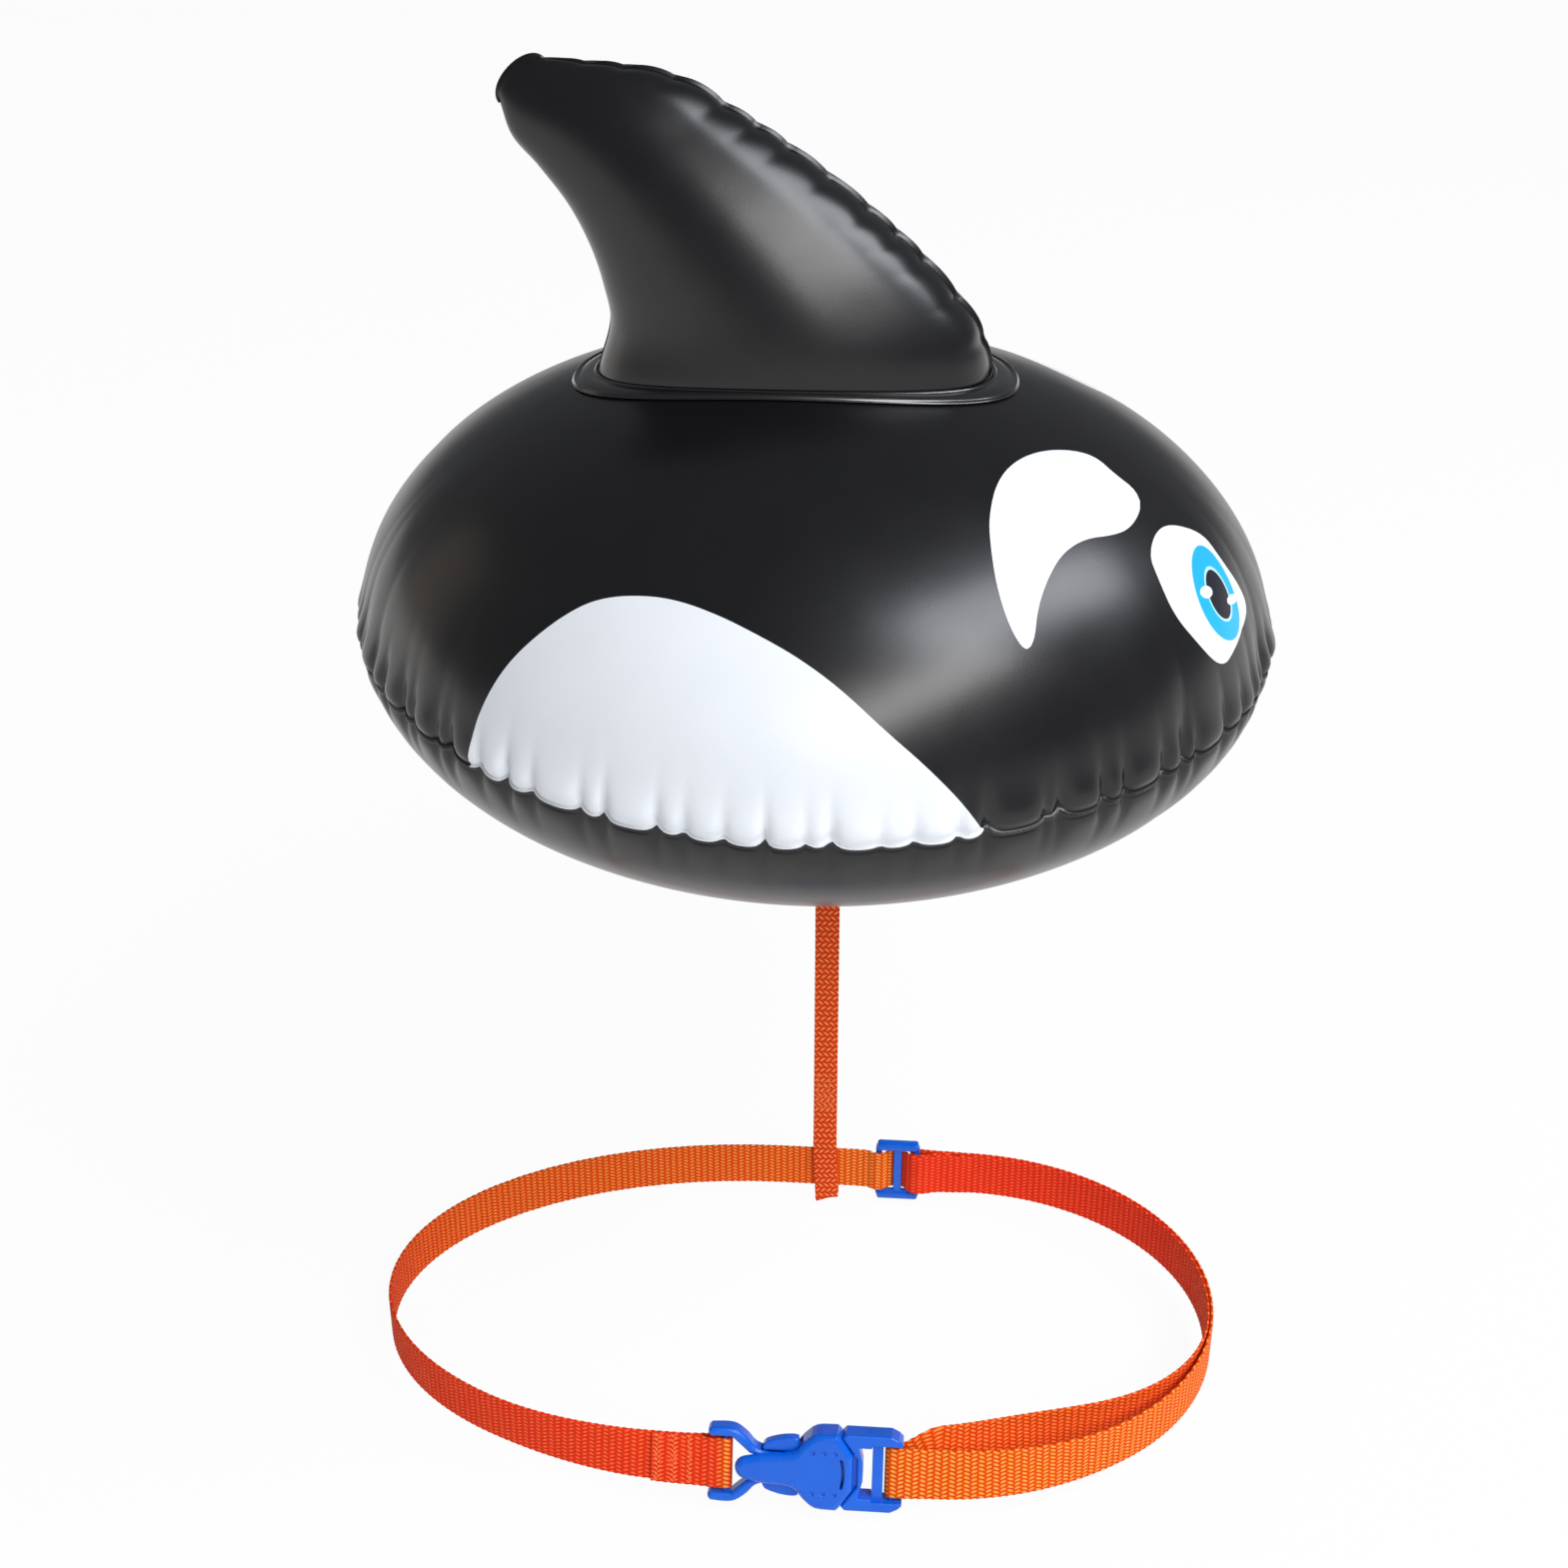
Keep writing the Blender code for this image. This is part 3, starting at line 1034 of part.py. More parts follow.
def make_plug():
    """The half that pulls out: a frame with two bars, a neck in the mouth and a blade between the prongs."""
    half = BUCKLE_HEIGHT / 2
    right = PLUG_END
    step = NECK_CLEARANCE
    upper = [
        (right, FRAME_HALF_HEIGHT),
        (right, half - 2 * BUCKLE_ROUNDING),
        (right - BUCKLE_ROUNDING, half - BUCKLE_ROUNDING),
        (right - 3 * BUCKLE_ROUNDING, half),
        (MOUTH_SHOULDER + BUCKLE_ROUNDING + step, half),
        (MOUTH_SHOULDER + step, half - BUCKLE_ROUNDING),
        (MOUTH_REACH + step, MOUTH_FLAT_HALF_HEIGHT + step),
        (MOUTH_REACH + step + LIP_RECESS, MOUTH_FLAT_HALF_HEIGHT - LIP_RECESS),
    ]
    inside = [(GATE_BAR_RIGHT, -FRAME_HALF_HEIGHT), (GATE_BAR_RIGHT, FRAME_HALF_HEIGHT)]
    outline = upper + [(x, -z) for x, z in reversed(upper)] + inside
    gate = [
        (GATE_LEFT, -GATE_HALF_HEIGHT),
        (GATE_RIGHT, -GATE_HALF_HEIGHT),
        (GATE_RIGHT, GATE_HALF_HEIGHT),
        (GATE_LEFT, GATE_HALF_HEIGHT),
        (GATE_LEFT + GATE_BOW, GATE_HALF_HEIGHT / 3),
        (GATE_LEFT + GATE_BOW, -GATE_HALF_HEIGHT / 3),
    ]
    plug = piece("buckle_plug", flat_mesh([outline, gate], PLUG_DEPTH, BUCKLE_ROUNDING / 2), BLUE_PLASTIC)
    place_buckle(plug)
    bar = cutter("plug_bar", bar_mesh(PLUG_BAR_X, FRAME_HALF_HEIGHT + OVERRUN))
    boolean(plug, place_buckle(bar), "UNION")
    # The cross bar beside the gate is thinner than the frame, so that the webbing can turn behind it
    for side in (-1, 1):
        near, far = sorted((side * ARM_DEPTH / 3, side * PLUG_DEPTH))
        inner = FRAME_HALF_HEIGHT + GAP
        relief = box_mesh((GATE_RIGHT - GAP, near, -inner), (right + OVERRUN, far, inner))
        boolean(plug, place_buckle(cutter(f"bar_relief_{side}", relief)), "DIFFERENCE")
    neck = box_mesh(
        (NECK_LEFT, -CHAMBER_HALF_DEPTH + NECK_CLEARANCE, -CHAMBER_HALF_HEIGHT + NECK_CLEARANCE),
        (MOUTH_REACH + LIP_RECESS + 2 * step, CHAMBER_HALF_DEPTH - step, CHAMBER_HALF_HEIGHT - step),
    )
    boolean(plug, place_buckle(cutter("plug_neck", neck)), "UNION")
    blade_half_depth = CHAMBER_HALF_DEPTH - NECK_CLEARANCE - GAP
    blade = round_box(
        (GUIDE_LEFT, -blade_half_depth, -GUIDE_HALF_HEIGHT),
        (NECK_LEFT + OVERRUN, blade_half_depth, GUIDE_HALF_HEIGHT),
        PRONG_ROUNDING,
    )
    boolean(plug, place_buckle(cutter("guide_blade", blade)), "UNION")
    for side in (-1, 1):
        ends = [(PRONG_ROOT_X, y, side * PRONG_ROOT_Z) for y in (-HOOD_DEPTH, HOOD_DEPTH)]
        notch = rod_mesh(PRONG_ROOT_RADIUS + GAP, *ends)
        boolean(plug, place_buckle(cutter(f"root_notch_{side}", notch)), "DIFFERENCE")


def make_prong(name, side):
    """A springy arm with its latch head, moulded to the plug at its rounded root; it bends there."""
    root = arc((PRONG_ROOT_X, PRONG_ROOT_Z), (PRONG_ROOT_RADIUS,) * 2, -90, 90, 6)
    crown = smooth_line(
        [
            (PRONG_SHOULDER_X, PRONG_CROWN - PRONG_ROUNDING),
            (PRONG_SHOULDER_X - 4 * PRONG_ROUNDING, PRONG_CROWN),
            ((PRONG_SHOULDER_X + PRONG_TIP_X) / 2, PRONG_CROWN - PRONG_ROUNDING),
            (PRONG_TIP_X + 3 * PRONG_ROUNDING, PRONG_ARM_OUTSIDE + PRONG_ROUNDING),
            (PRONG_TIP_X, PRONG_ARM_INSIDE + 2 * PRONG_ROUNDING),
        ],
        3,
    )
    outline = [tuple(p) for p in root]
    outline += [(PRONG_SHOULDER_X + 3 * PRONG_ROUNDING, PRONG_ARM_OUTSIDE)]
    outline += [(PRONG_SHOULDER_X, PRONG_ARM_OUTSIDE)]
    outline += [tuple(p) for p in crown]
    outline += [(PRONG_TIP_X + PRONG_ROUNDING, PRONG_ARM_INSIDE)]
    if side < 0:
        outline = [(x, -z) for x, z in outline]
    place_buckle(piece(name, flat_mesh([outline], 2 * PRONG_HALF_DEPTH, PRONG_ROUNDING), BLUE_PLASTIC))


def make_glide():
    """The tri-glide: a flat frame with two webbing slots between three bars, and rounded rails."""
    half_x, half_z = GLIDE_WIDTH / 2, GLIDE_HEIGHT / 2
    edge = []
    for cx, cz, start in ((1, 1, 0), (-1, 1, 90), (-1, -1, 180), (1, -1, 270)):
        centre = (cx * (half_x - GLIDE_CORNER), cz * (half_z - GLIDE_CORNER))
        edge += [tuple(p) for p in arc(centre, (GLIDE_CORNER,) * 2, start, start + 90, 4)]
    slots = []
    for side in (-1, 1):
        low, high = sorted((side * GLIDE_CENTRE_BAR_WIDTH / 2, side * (half_x - GLIDE_BAR_WIDTH)))
        z = GLIDE_SLOT_HALF_HEIGHT
        slots.append([(low, -z), (high, -z), (high, z), (low, z)])
    glide = piece("tri_glide", flat_mesh([edge, *slots], GLIDE_THICKNESS, GLIDE_ROUNDING), BLUE_PLASTIC)
    glide.location = (GLIDE_X, 0.0, BELT_Z)
    for side in (-1, 1):
        outer = side * (half_z - GLIDE_ROUNDING / 2)
        near, far = sorted((outer, outer - side * GLIDE_RAIL_HEIGHT))
        rail = round_box(
            (-half_x + GLIDE_ROUNDING, -GLIDE_RAIL_DEPTH / 2, near),
            (half_x - GLIDE_ROUNDING, GLIDE_RAIL_DEPTH / 2, far),
            GLIDE_RAIL_HEIGHT / 3,
        )
        tool = cutter(f"glide_rail_{side}", rail)
        tool.location = glide.location
        boolean(glide, tool, "UNION")


def main():
    upper = hull_panel("hull_upper_panel", HULL_CROWN)
    hull_panel("hull_lower_panel", -HULL_KEEL)
    fin_panel("fin_near_panel", -1)
    fin_panel("fin_far_panel", 1)
    fin_collar()
    place = valve_place()
    make_valve(place)
    cut_valve_hole(upper, place)
    make_anchor()
    make_tether()
    make_belt()
    make_socket()
    make_plug()
    make_prong("plug_prong_upper", 1)
    make_prong("plug_prong_lower", -1)
    make_glide()


main()
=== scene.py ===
# %% [markdown]
# # An open water swim buoy
# An inflated black float in the shape of a whale, tethered to an orange waist belt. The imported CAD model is
# the fixed frame: every piece made here sits where the frame says, in metres, with Z up, the head towards +X
# and the side with the buckle towards -Y. The first cell loads it and notes its box.

# %% Load the frame
import math

import bpy
import numpy as np
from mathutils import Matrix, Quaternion, Vector


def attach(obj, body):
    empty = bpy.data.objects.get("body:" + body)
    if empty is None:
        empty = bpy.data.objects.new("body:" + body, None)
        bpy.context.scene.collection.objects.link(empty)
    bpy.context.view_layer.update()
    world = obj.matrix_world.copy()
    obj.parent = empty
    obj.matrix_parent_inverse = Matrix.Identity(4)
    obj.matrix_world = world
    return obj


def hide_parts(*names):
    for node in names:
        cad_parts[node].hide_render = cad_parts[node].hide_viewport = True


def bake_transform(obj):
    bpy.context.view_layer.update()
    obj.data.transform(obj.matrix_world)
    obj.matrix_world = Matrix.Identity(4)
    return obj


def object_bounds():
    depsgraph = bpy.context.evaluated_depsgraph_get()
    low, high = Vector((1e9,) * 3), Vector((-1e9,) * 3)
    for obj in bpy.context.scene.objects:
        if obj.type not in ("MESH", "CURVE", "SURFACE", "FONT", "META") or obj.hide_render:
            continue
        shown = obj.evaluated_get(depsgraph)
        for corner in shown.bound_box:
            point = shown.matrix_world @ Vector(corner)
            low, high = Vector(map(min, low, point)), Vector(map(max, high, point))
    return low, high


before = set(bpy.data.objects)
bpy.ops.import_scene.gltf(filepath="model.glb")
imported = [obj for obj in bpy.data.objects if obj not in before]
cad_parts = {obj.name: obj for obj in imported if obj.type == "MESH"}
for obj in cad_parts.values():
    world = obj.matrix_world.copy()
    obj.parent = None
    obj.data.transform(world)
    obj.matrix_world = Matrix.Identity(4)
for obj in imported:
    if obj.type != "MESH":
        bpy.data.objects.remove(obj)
cad_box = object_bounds()
print("CAD box", [[round(c, 3) for c in corner] for corner in cad_box])

# %% [markdown]
# ## Small helpers
# Colours are written as sRGB hex values, as on a paint chart, and one function turns them to the linear light
# that Blender computes with. One function adds any node with its settings and links. Meshes are made from
# grids of points in numpy, which is quick and keeps every row of a sheet or a strap in order.


# %% Colour and node helpers
def linear(hex_colour):
    """An sRGB hex colour as linear RGBA."""
    values = [int(hex_colour[k : k + 2], 16) / 255 for k in (1, 3, 5)]
    return (*[v / 12.92 if v <= 0.04045 else ((v + 0.055) / 1.055) ** 2.4 for v in values], 1)


def add(tree, kind, inputs=(), output=0, **settings):
    """Adds a node and gives one of its outputs, or all of them where output is None.

    A shader node's kind goes without its first word, ShaderNode. Inputs are listed in order, or by name or
    number in a dict, and each is a plain value, a hex colour or a socket to link.
    """
    node = tree.nodes.new(kind if "Node" in kind else "ShaderNode" + kind)
    for key, value in settings.items():
        setattr(node, key, value)
    for key, value in inputs.items() if isinstance(inputs, dict) else enumerate(inputs):
        if isinstance(value, bpy.types.NodeSocket):
            tree.links.new(value, node.inputs[key])
        else:
            is_colour = str(value).startswith("#")
            node.inputs[key].default_value = linear(value) if is_colour else value
    return node.outputs if output is None else node.outputs[output]


def material(name, build, **sockets):
    """A material whose Principled shader takes plain values from sockets, and links from what build gives."""
    made = bpy.data.materials.new(name)
    made.use_nodes = True
    shader = made.node_tree.nodes["Principled BSDF"]
    for key, value in sockets.items():
        shader.inputs[key.replace("_", " ")].default_value = value
    for key, socket in build(made.node_tree, shader).items():
        made.node_tree.links.new(socket, shader.inputs[key])
    return made


# %% Object and mesh helpers
def placed(name, data):
    """A new object of the scene with its data."""
    made = bpy.data.objects.new(name, data)
    bpy.context.scene.collection.objects.link(made)
    return made


def finished(name, mesh, look, body, blend=None):
    """Links a mesh as a piece with its material, and lets it ride on its body; with blend, only bakes its
    place.
    """
    made = placed(name, mesh)
    mesh.materials.clear()
    mesh.materials.append(look)
    mesh.shade_smooth()
    if blend:
        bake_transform(made)
    else:
        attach(made, body)
    print(name, len(mesh.vertices), "vertices")
    return made


def grid_piece(name, points, look, body, wrap=False, closed_ends=False, flip=False, values=None, blend=None):
    """A smooth piece through a grid of points (rows, columns, 3), with named values for its points.

    wrap joins its last column to its first, and closed_ends closes its first and last row with a fan.
    """
    rows, columns = points.shape[:2]
    ids = np.arange(rows * columns).reshape(rows, columns)
    left, right = (ids, np.roll(ids, -1, axis=1)) if wrap else (ids[:, :-1], ids[:, 1:])
    faces = np.stack([left[:-1], right[:-1], right[1:], left[1:]], axis=-1).reshape(-1, 4).tolist()
    corners = points.reshape(-1, 3)
    extra = {key: np.asarray(value).reshape(rows * columns, -1) for key, value in (values or {}).items()}
    for row, order in ((0, -1), (rows - 1, 1)) if closed_ends else ():
        middle = len(corners)
        corners = np.concatenate([corners, points[row].mean(axis=0)[None]])
        extra = {key: np.concatenate([v, v[ids[row]].mean(axis=0)[None]]) for key, v in extra.items()}
        ring = ids[row].tolist()
        faces += [[a, b, middle][::order] for a, b in zip(ring, ring[1:] + ring[:1])]
    if flip:
        faces = [face[::-1] for face in faces]
    mesh = bpy.data.meshes.new(name)
    mesh.from_pydata(corners.tolist(), [], faces)
    for key, value in extra.items():
        kind, field = ("FLOAT", "value") if value.shape[1] == 1 else ("FLOAT_VECTOR", "vector")
        mesh.attributes.new(key, kind, "POINT").data.foreach_set(field, value.astype(np.float32).ravel())
    return finished(name, mesh, look, body, blend)


def unit(vectors):
    """Rows of vectors, each made one long."""
    return vectors / np.linalg.norm(vectors, axis=-1, keepdims=True)


# %% [markdown]
# ## Camera
# A short telephoto view from a little above the float, turned slightly towards its head. The lens and the
# place come from matching the belt's width, the float's outline and the fin with the photograph.

# %% Camera
CAMERA_ELEVATION = 29
CAMERA_AZIMUTH = 4.5
CAMERA_PLACE = (0.0645, -1.0044, 0.4629)
CAMERA_LENS = 52.8

camera_data = bpy.data.cameras.new("camera")
camera_data.lens = CAMERA_LENS
camera = placed("camera", camera_data)
camera.location = CAMERA_PLACE
camera.rotation_euler = (math.radians(90 - CAMERA_ELEVATION), 0, math.radians(CAMERA_AZIMUTH))
bpy.context.scene.camera = camera

# %% [markdown]
# ## Studio
# A wide white paper floor, a dim surround and large soft lamps. Satin black plastic shows mostly what it
# mirrors, so the lamps' places decide where the float gets its broad grey highlights: one high behind the
# camera lights the fin, one at the right the cheek before the eye, and a weak warm one skims the tail. The
# surround stays dim so that the crown stays dark. The paper shows white to the camera and to whatever mirrors
# it, mixed with its real shading, so that it keeps the shadow.

# %% Floor, surround and lamps
FLOOR_REACH = 30
# The twisted loop of the tether hangs a little lower than its plain solid, so the floor is set below both
LOOP_SAG = 0.0024
FLOOR_Z = cad_box[0][2] - LOOP_SAG
PAPER_GLOW_SHARE = 0.95
SURROUND_STRENGTH = 0.2


def floor_look(tree, shader):
    place = add(tree, "TexCoord", output="Object")
    grain = add(tree, "TexNoise", {"Vector": place, "Scale": 900, "Detail": 2})
    ray = add(tree, "LightPath", output=None)
    seen = ray["Is Camera Ray"]
    for other in ("Is Glossy Ray", "Is Transmission Ray"):
        seen = add(tree, "Math", [seen, ray[other]], operation="MAXIMUM")
    share = add(tree, "Math", [seen, PAPER_GLOW_SHARE], operation="MULTIPLY")
    glow = add(tree, "Emission", {"Color": "#FFFFFF", "Strength": 1})
    both = add(tree, "MixShader", [share, shader.outputs[0], glow])
    tree.links.new(both, tree.nodes["Material Output"].inputs["Surface"])
    return {"Normal": add(tree, "Bump", {"Strength": 0.05, "Distance": 0.0002, "Height": grain})}


floor_paint = material("matt_white_paper_floor", floor_look, Base_Color=linear("#F6F7F8"), Roughness=0.9)
floor_paint.cycles.emission_sampling = "NONE"
floor_mesh = bpy.data.meshes.new("studio_floor")
corners = [(x * FLOOR_REACH, y * FLOOR_REACH, FLOOR_Z) for x, y in ((-1, -1), (1, -1), (1, 1), (-1, 1))]
floor_mesh.from_pydata(corners, [], [(0, 1, 2, 3)])
floor_mesh.materials.append(floor_paint)
floor = placed("studio_floor", floor_mesh)

world = bpy.data.worlds.new("surround")
bpy.context.scene.world = world
world.use_nodes = True
surround = world.node_tree.nodes["Background"].inputs
surround["Color"].default_value = linear("#F0F3F8")
surround["Strength"].default_value = SURROUND_STRENGTH


def lamp(name, place, aim, width, height, power, colour="#FFFFFF", roll=0):
    """A soft rectangular lamp that looks from its place at aim, rolled by some degrees about that line."""
    data = bpy.data.lights.new(name, "AREA")
    data.shape = "RECTANGLE"
    data.size = width
    data.size_y = height
    data.energy = power
    data.color = linear(colour)[:3]
    made = placed(name, data)
    made.location = place
    towards = (Vector(aim) - Vector(place)).to_track_quat("-Z", "Y")
    made.rotation_euler = (towards @ Quaternion((0, 0, 1), math.radians(roll))).to_euler()


lamp("softbox_front", (1.51, -2.83, 2.39), (0, 0, 0), 3.8, 0.75, 98, roll=30)
lamp("softbox_right", (1.87, -0.43, 2.46), (0.1, -0.12, 0.06), 2.9, 0.85, 72, "#F4F7FF", roll=-26)
lamp("softbox_tail", (-1.9, 0.5, 0.4), (-0.15, 0, 0), 0.7, 1.4, 1.2, "#FFE8D0")
bpy.context.scene.view_settings.view_transform = "Standard"

# %% [markdown]
# ## Float: the welded sheets
# Two pressed PVC sheets welded round their rim. When they are blown up, the rim has more sheet than it needs,
# so it gathers into small cushions between sharp creases, longer at the head and the tail. A cloth simulation
# could find them, but it would take minutes and move them each time. Here the dome is a rule (a rounded
# ellipsoid), and each crease is a valley with its own depth, width and length, added to it.

# %% Hull sizes
GAP = 0.0003
HALF_LENGTH = 0.215
HALF_WIDTH = 0.202
HULL_CROWN = 0.128
HULL_KEEL = 0.092
SEAM_DROP = 0.0115
NOSE_DIP = 0.0038
SHEET_THICKNESS = 0.0005
HULL_POWER = 2.2
RIM_ROUND = math.pi * (HALF_LENGTH + HALF_WIDTH)
SKIN_LIFT = GAP / 2 + SHEET_THICKNESS


def hull_height(x, y, rise):
    """Height of the hull's smooth outside over a point; a negative rise gives the keel side."""
    share = np.minimum(1, np.hypot(x / HALF_LENGTH, y / HALF_WIDTH))
    seam = -SEAM_DROP * (y / HALF_WIDTH) ** 2 - NOSE_DIP * x / HALF_LENGTH
    return seam + rise * np.sqrt(1 - share**HULL_POWER)


# %% Creases round the rim
CREASES = 82
CREASE_DEPTH = 0.0034
CREASE_WIDTH = 0.0024
CREASE_LENGTH = 0.003
PLEAT_LENGTH = 0.042
PLEAT_SPREAD_SHARE = 0.22
END_DEPTH_SHARE = 0.5
PILLOW_BULGE = 0.0032
PILLOW_HEIGHT = 0.0045
LOWER_CALM_SHARE = 0.4
RIM_INSET = 0.0026
RIM_SCALLOP = 0.0034
RIM_LIP = 0.0014
RIM_SEGMENTS = 738
SHEET_RINGS = 96
INNER_RINGS = 9

chance = np.random.default_rng(7)
crease_at = (np.arange(CREASES) + chance.uniform(-0.36, 0.36, CREASES)) / CREASES
crease_depth = CREASE_DEPTH * chance.uniform(0.35, 1.15, CREASES)
crease_width = CREASE_WIDTH * chance.uniform(0.7, 1.4, CREASES)
# Pleats run far up the sheet at the head (turn 0) and the tail (turn 0.5), and stay short along the flanks
end_share = np.abs(np.cos(math.tau * crease_at)) ** 3
crease_length = CREASE_LENGTH * chance.uniform(0.6, 1.6, CREASES)
crease_length += PLEAT_LENGTH * end_share * chance.uniform(0.1, 1, CREASES) ** 1.5
crease_depth *= 1 + END_DEPTH_SHARE * end_share
crease_lean = chance.uniform(-0.16, 0.16, CREASES)
print("mean crease spacing", round(RIM_ROUND / CREASES * 1000, 1), "mm")


def hull_sheet(name, rise, look, ink=None):
    """One pressed sheet: rings from the middle to the weld, its narrow lip, and the inner wall back again."""
    up = 1 if rise > 0 else -1
    turn = np.arange(RIM_SEGMENTS) / RIM_SEGMENTS
    ring = np.arange(1, SHEET_RINGS + 1) / SHEET_RINGS
    angle, share = np.meshgrid(math.tau * turn, np.sin(math.pi / 2 * ring))
    x, y = HALF_LENGTH * share * np.cos(angle), HALF_WIDTH * share * np.sin(angle)
    plain = np.stack([x, y, hull_height(x, y, rise) + up * SKIN_LIFT], axis=-1)
    # Distance down the sheet to the weld
    step = np.linalg.norm(np.diff(plain, axis=0), axis=2)
    to_weld = np.concatenate([np.cumsum(step[::-1], axis=0)[::-1], np.zeros((1, RIM_SEGMENTS))])
    outwards = np.stack([np.cos(angle), np.sin(angle), 0 * angle], axis=-1)
    across = np.roll(plain, -1, axis=1) - np.roll(plain, 1, axis=1)
    normal = unit(np.cross(np.gradient(plain, axis=0), across) * up)
    normal[-1] = outwards[-1]
    # Creases lean a little as they run up the sheet
    apart = (turn[None, :, None] - crease_at - crease_lean * to_weld[..., None] / RIM_ROUND + 0.5) % 1 - 0.5
    spread = crease_width + to_weld[..., None] * PLEAT_SPREAD_SHARE
    valley = crease_depth * np.exp(-np.abs(apart * RIM_ROUND * share[..., None]) / spread)
    valley = (valley * np.exp(-to_weld[..., None] / crease_length)).sum(axis=-1)
    # On the rim a lobe is 0 in a crease and near 1 midway between two
    apart = (turn[:, None] - crease_at + 0.5) % 1 - 0.5
    near = np.exp(-np.abs(apart * RIM_ROUND) / crease_width) * crease_depth / CREASE_DEPTH
    lobe = 1 - np.minimum(1, near.sum(axis=-1))[None]
    pillow = PILLOW_BULGE * (to_weld / PILLOW_HEIGHT) * np.exp(1 - to_weld / PILLOW_HEIGHT) * lobe
    calm = 1 if rise > 0 else LOWER_CALM_SHARE
    lift = (pillow - valley * np.minimum(1, to_weld / CREASE_WIDTH)) * calm
    moved = plain + normal * lift[..., None]
    # The weld line itself runs in and out, and up and down
    near_weld = np.exp(-to_weld / PILLOW_HEIGHT)
    moved -= outwards * (RIM_INSET * (1 - lobe) * near_weld)[..., None]
    moved[..., 2] -= RIM_SCALLOP * (lobe - 0.5) * near_weld
    lip = moved[-1:] + outwards[-1:] * RIM_LIP
    under = (0, 0, up * SHEET_THICKNESS)
    inner_rows = np.linspace(SHEET_RINGS - 2, 3, INNER_RINGS).astype(int)
    inner = moved[inner_rows] - normal[inner_rows] * SHEET_THICKNESS
    rows = np.concatenate([moved, lip, lip - under, moved[-1:] - under, inner])
    flat = np.concatenate([plain, *[plain[-1:]] * 3, plain[inner_rows]])
    values = ink and {"white_ink": ink(flat)}
    made = grid_piece(name, rows, look, "float", wrap=True, closed_ends=True, flip=up > 0, values=values)
    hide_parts(name + "_panel")


# %% [markdown]
# ## Float: the printed patches
# White ink is screen printed on the upper sheet: a long patch on the flank, a comma behind the eye, and the
# eye. Their outlines are drawn as shares of the float's half length and of its crown's height, and
# each vertex keeps its distance to them. The shader cuts that distance at zero, which gives an edge much
# sharper than the mesh. The sheet's smooth shape is measured, so the ink creases with it.

# %% Print outlines and distances
FLANK_SHARES = [
    (-0.645, -0.22), (-0.625, 0.08), (-0.595, 0.21), (-0.55, 0.33), (-0.49, 0.43), (-0.425, 0.51),
    (-0.37, 0.555), (-0.3, 0.58), (-0.22, 0.585), (-0.135, 0.56), (-0.05, 0.515), (0.03, 0.46),
    (0.11, 0.38), (0.19, 0.27), (0.275, 0.15), (0.355, 0), (0.43, -0.22),
]
COMMA_SHARES = [
    (0.5, 0.83), (0.43, 0.84), (0.385, 0.815), (0.37, 0.75), (0.375, 0.69), (0.39, 0.595), (0.42, 0.49),
    (0.45, 0.43), (0.465, 0.46), (0.468, 0.53), (0.487, 0.595), (0.515, 0.64), (0.56, 0.655), (0.62, 0.638),
    (0.655, 0.635), (0.682, 0.66), (0.668, 0.695), (0.63, 0.735), (0.58, 0.79),
]
EYE_SHARES = [
    (0.75, 0.59), (0.71, 0.605), (0.692, 0.565), (0.71, 0.51), (0.745, 0.405), (0.795, 0.305), (0.838, 0.215),
    (0.862, 0.185), (0.88, 0.2), (0.905, 0.23), (0.925, 0.265), (0.9, 0.345), (0.855, 0.445), (0.815, 0.525),
]


def rounded(points, rounds=3, closed=False):
    """Corner cutting: each round replaces a corner by two points, so that a coarse line becomes smooth."""
    line = np.array(points, float)
    for _ in range(rounds):
        after = np.roll(line, -1, axis=0)
        cut = np.stack([line * 0.75 + after * 0.25, line * 0.25 + after * 0.75], axis=1)
        cut = cut.reshape(-1, line.shape[1])
        line = cut if closed else np.concatenate([line[:1], cut[1:-3], line[-1:]])
    return line


def distance_inside(points, outline):
    """Distance to a closed outline for each point, positive inside it."""
    line = rounded(np.array(outline) * (HALF_LENGTH, HULL_CROWN), closed=True)
    flat = points.reshape(-1, 2)
    best = np.full(len(flat), np.inf)
    inside = np.zeros(len(flat), bool)
    for a, b in zip(line, np.roll(line, -1, axis=0)):
        along = b - a
        share = np.clip(((flat - a) @ along) / (along @ along), 0, 1)
        best = np.minimum(best, np.linalg.norm(flat - a - share[:, None] * along, axis=1))
        crosses = (a[1] > flat[:, 1]) != (b[1] > flat[:, 1])
        with np.errstate(divide="ignore", invalid="ignore"):
            at = a[0] + (flat[:, 1] - a[1]) / (b[1] - a[1]) * along[0]
        inside ^= crosses & (flat[:, 0] < at)
    return np.where(inside, best, -best).reshape(points.shape[:-1])


def white_ink(flat):
    side = flat[..., [0, 2]]
    outlines = (FLANK_SHARES, COMMA_SHARES, EYE_SHARES)
    return np.max([distance_inside(side, outline) for outline in outlines], axis=0)


# %% [markdown]
# ## Finish of the float
# Calendered PVC sheet: pressed between rollers, so it is smooth and satin, with a very fine orange peel and
# slow waves where the sheet is tight. Black PVC is not quite black. Its gloss is even, so its shape reads
# from broad grey highlights. The ink is a little rougher than the sheet and stands a hair above it.

# %% PVC sheet materials
INK_ROUGHNESS = 0.08
IRIS = ((0.1808, 0, 0.0475), (0.0206, 1, 0.0063))
PUPIL = ((0.1818, 0, 0.0476), (0.0108, 1, 0.0032))
PUPIL_RIM = 1.12
EYE_TILT = 58.5
GLINTS = [((0.1756, 0, 0.0518), (0.0035, 1, 0.0015)), ((0.1888, 0, 0.0422), (0.003, 1, 0.00125))]
GLINT_TILT = 34


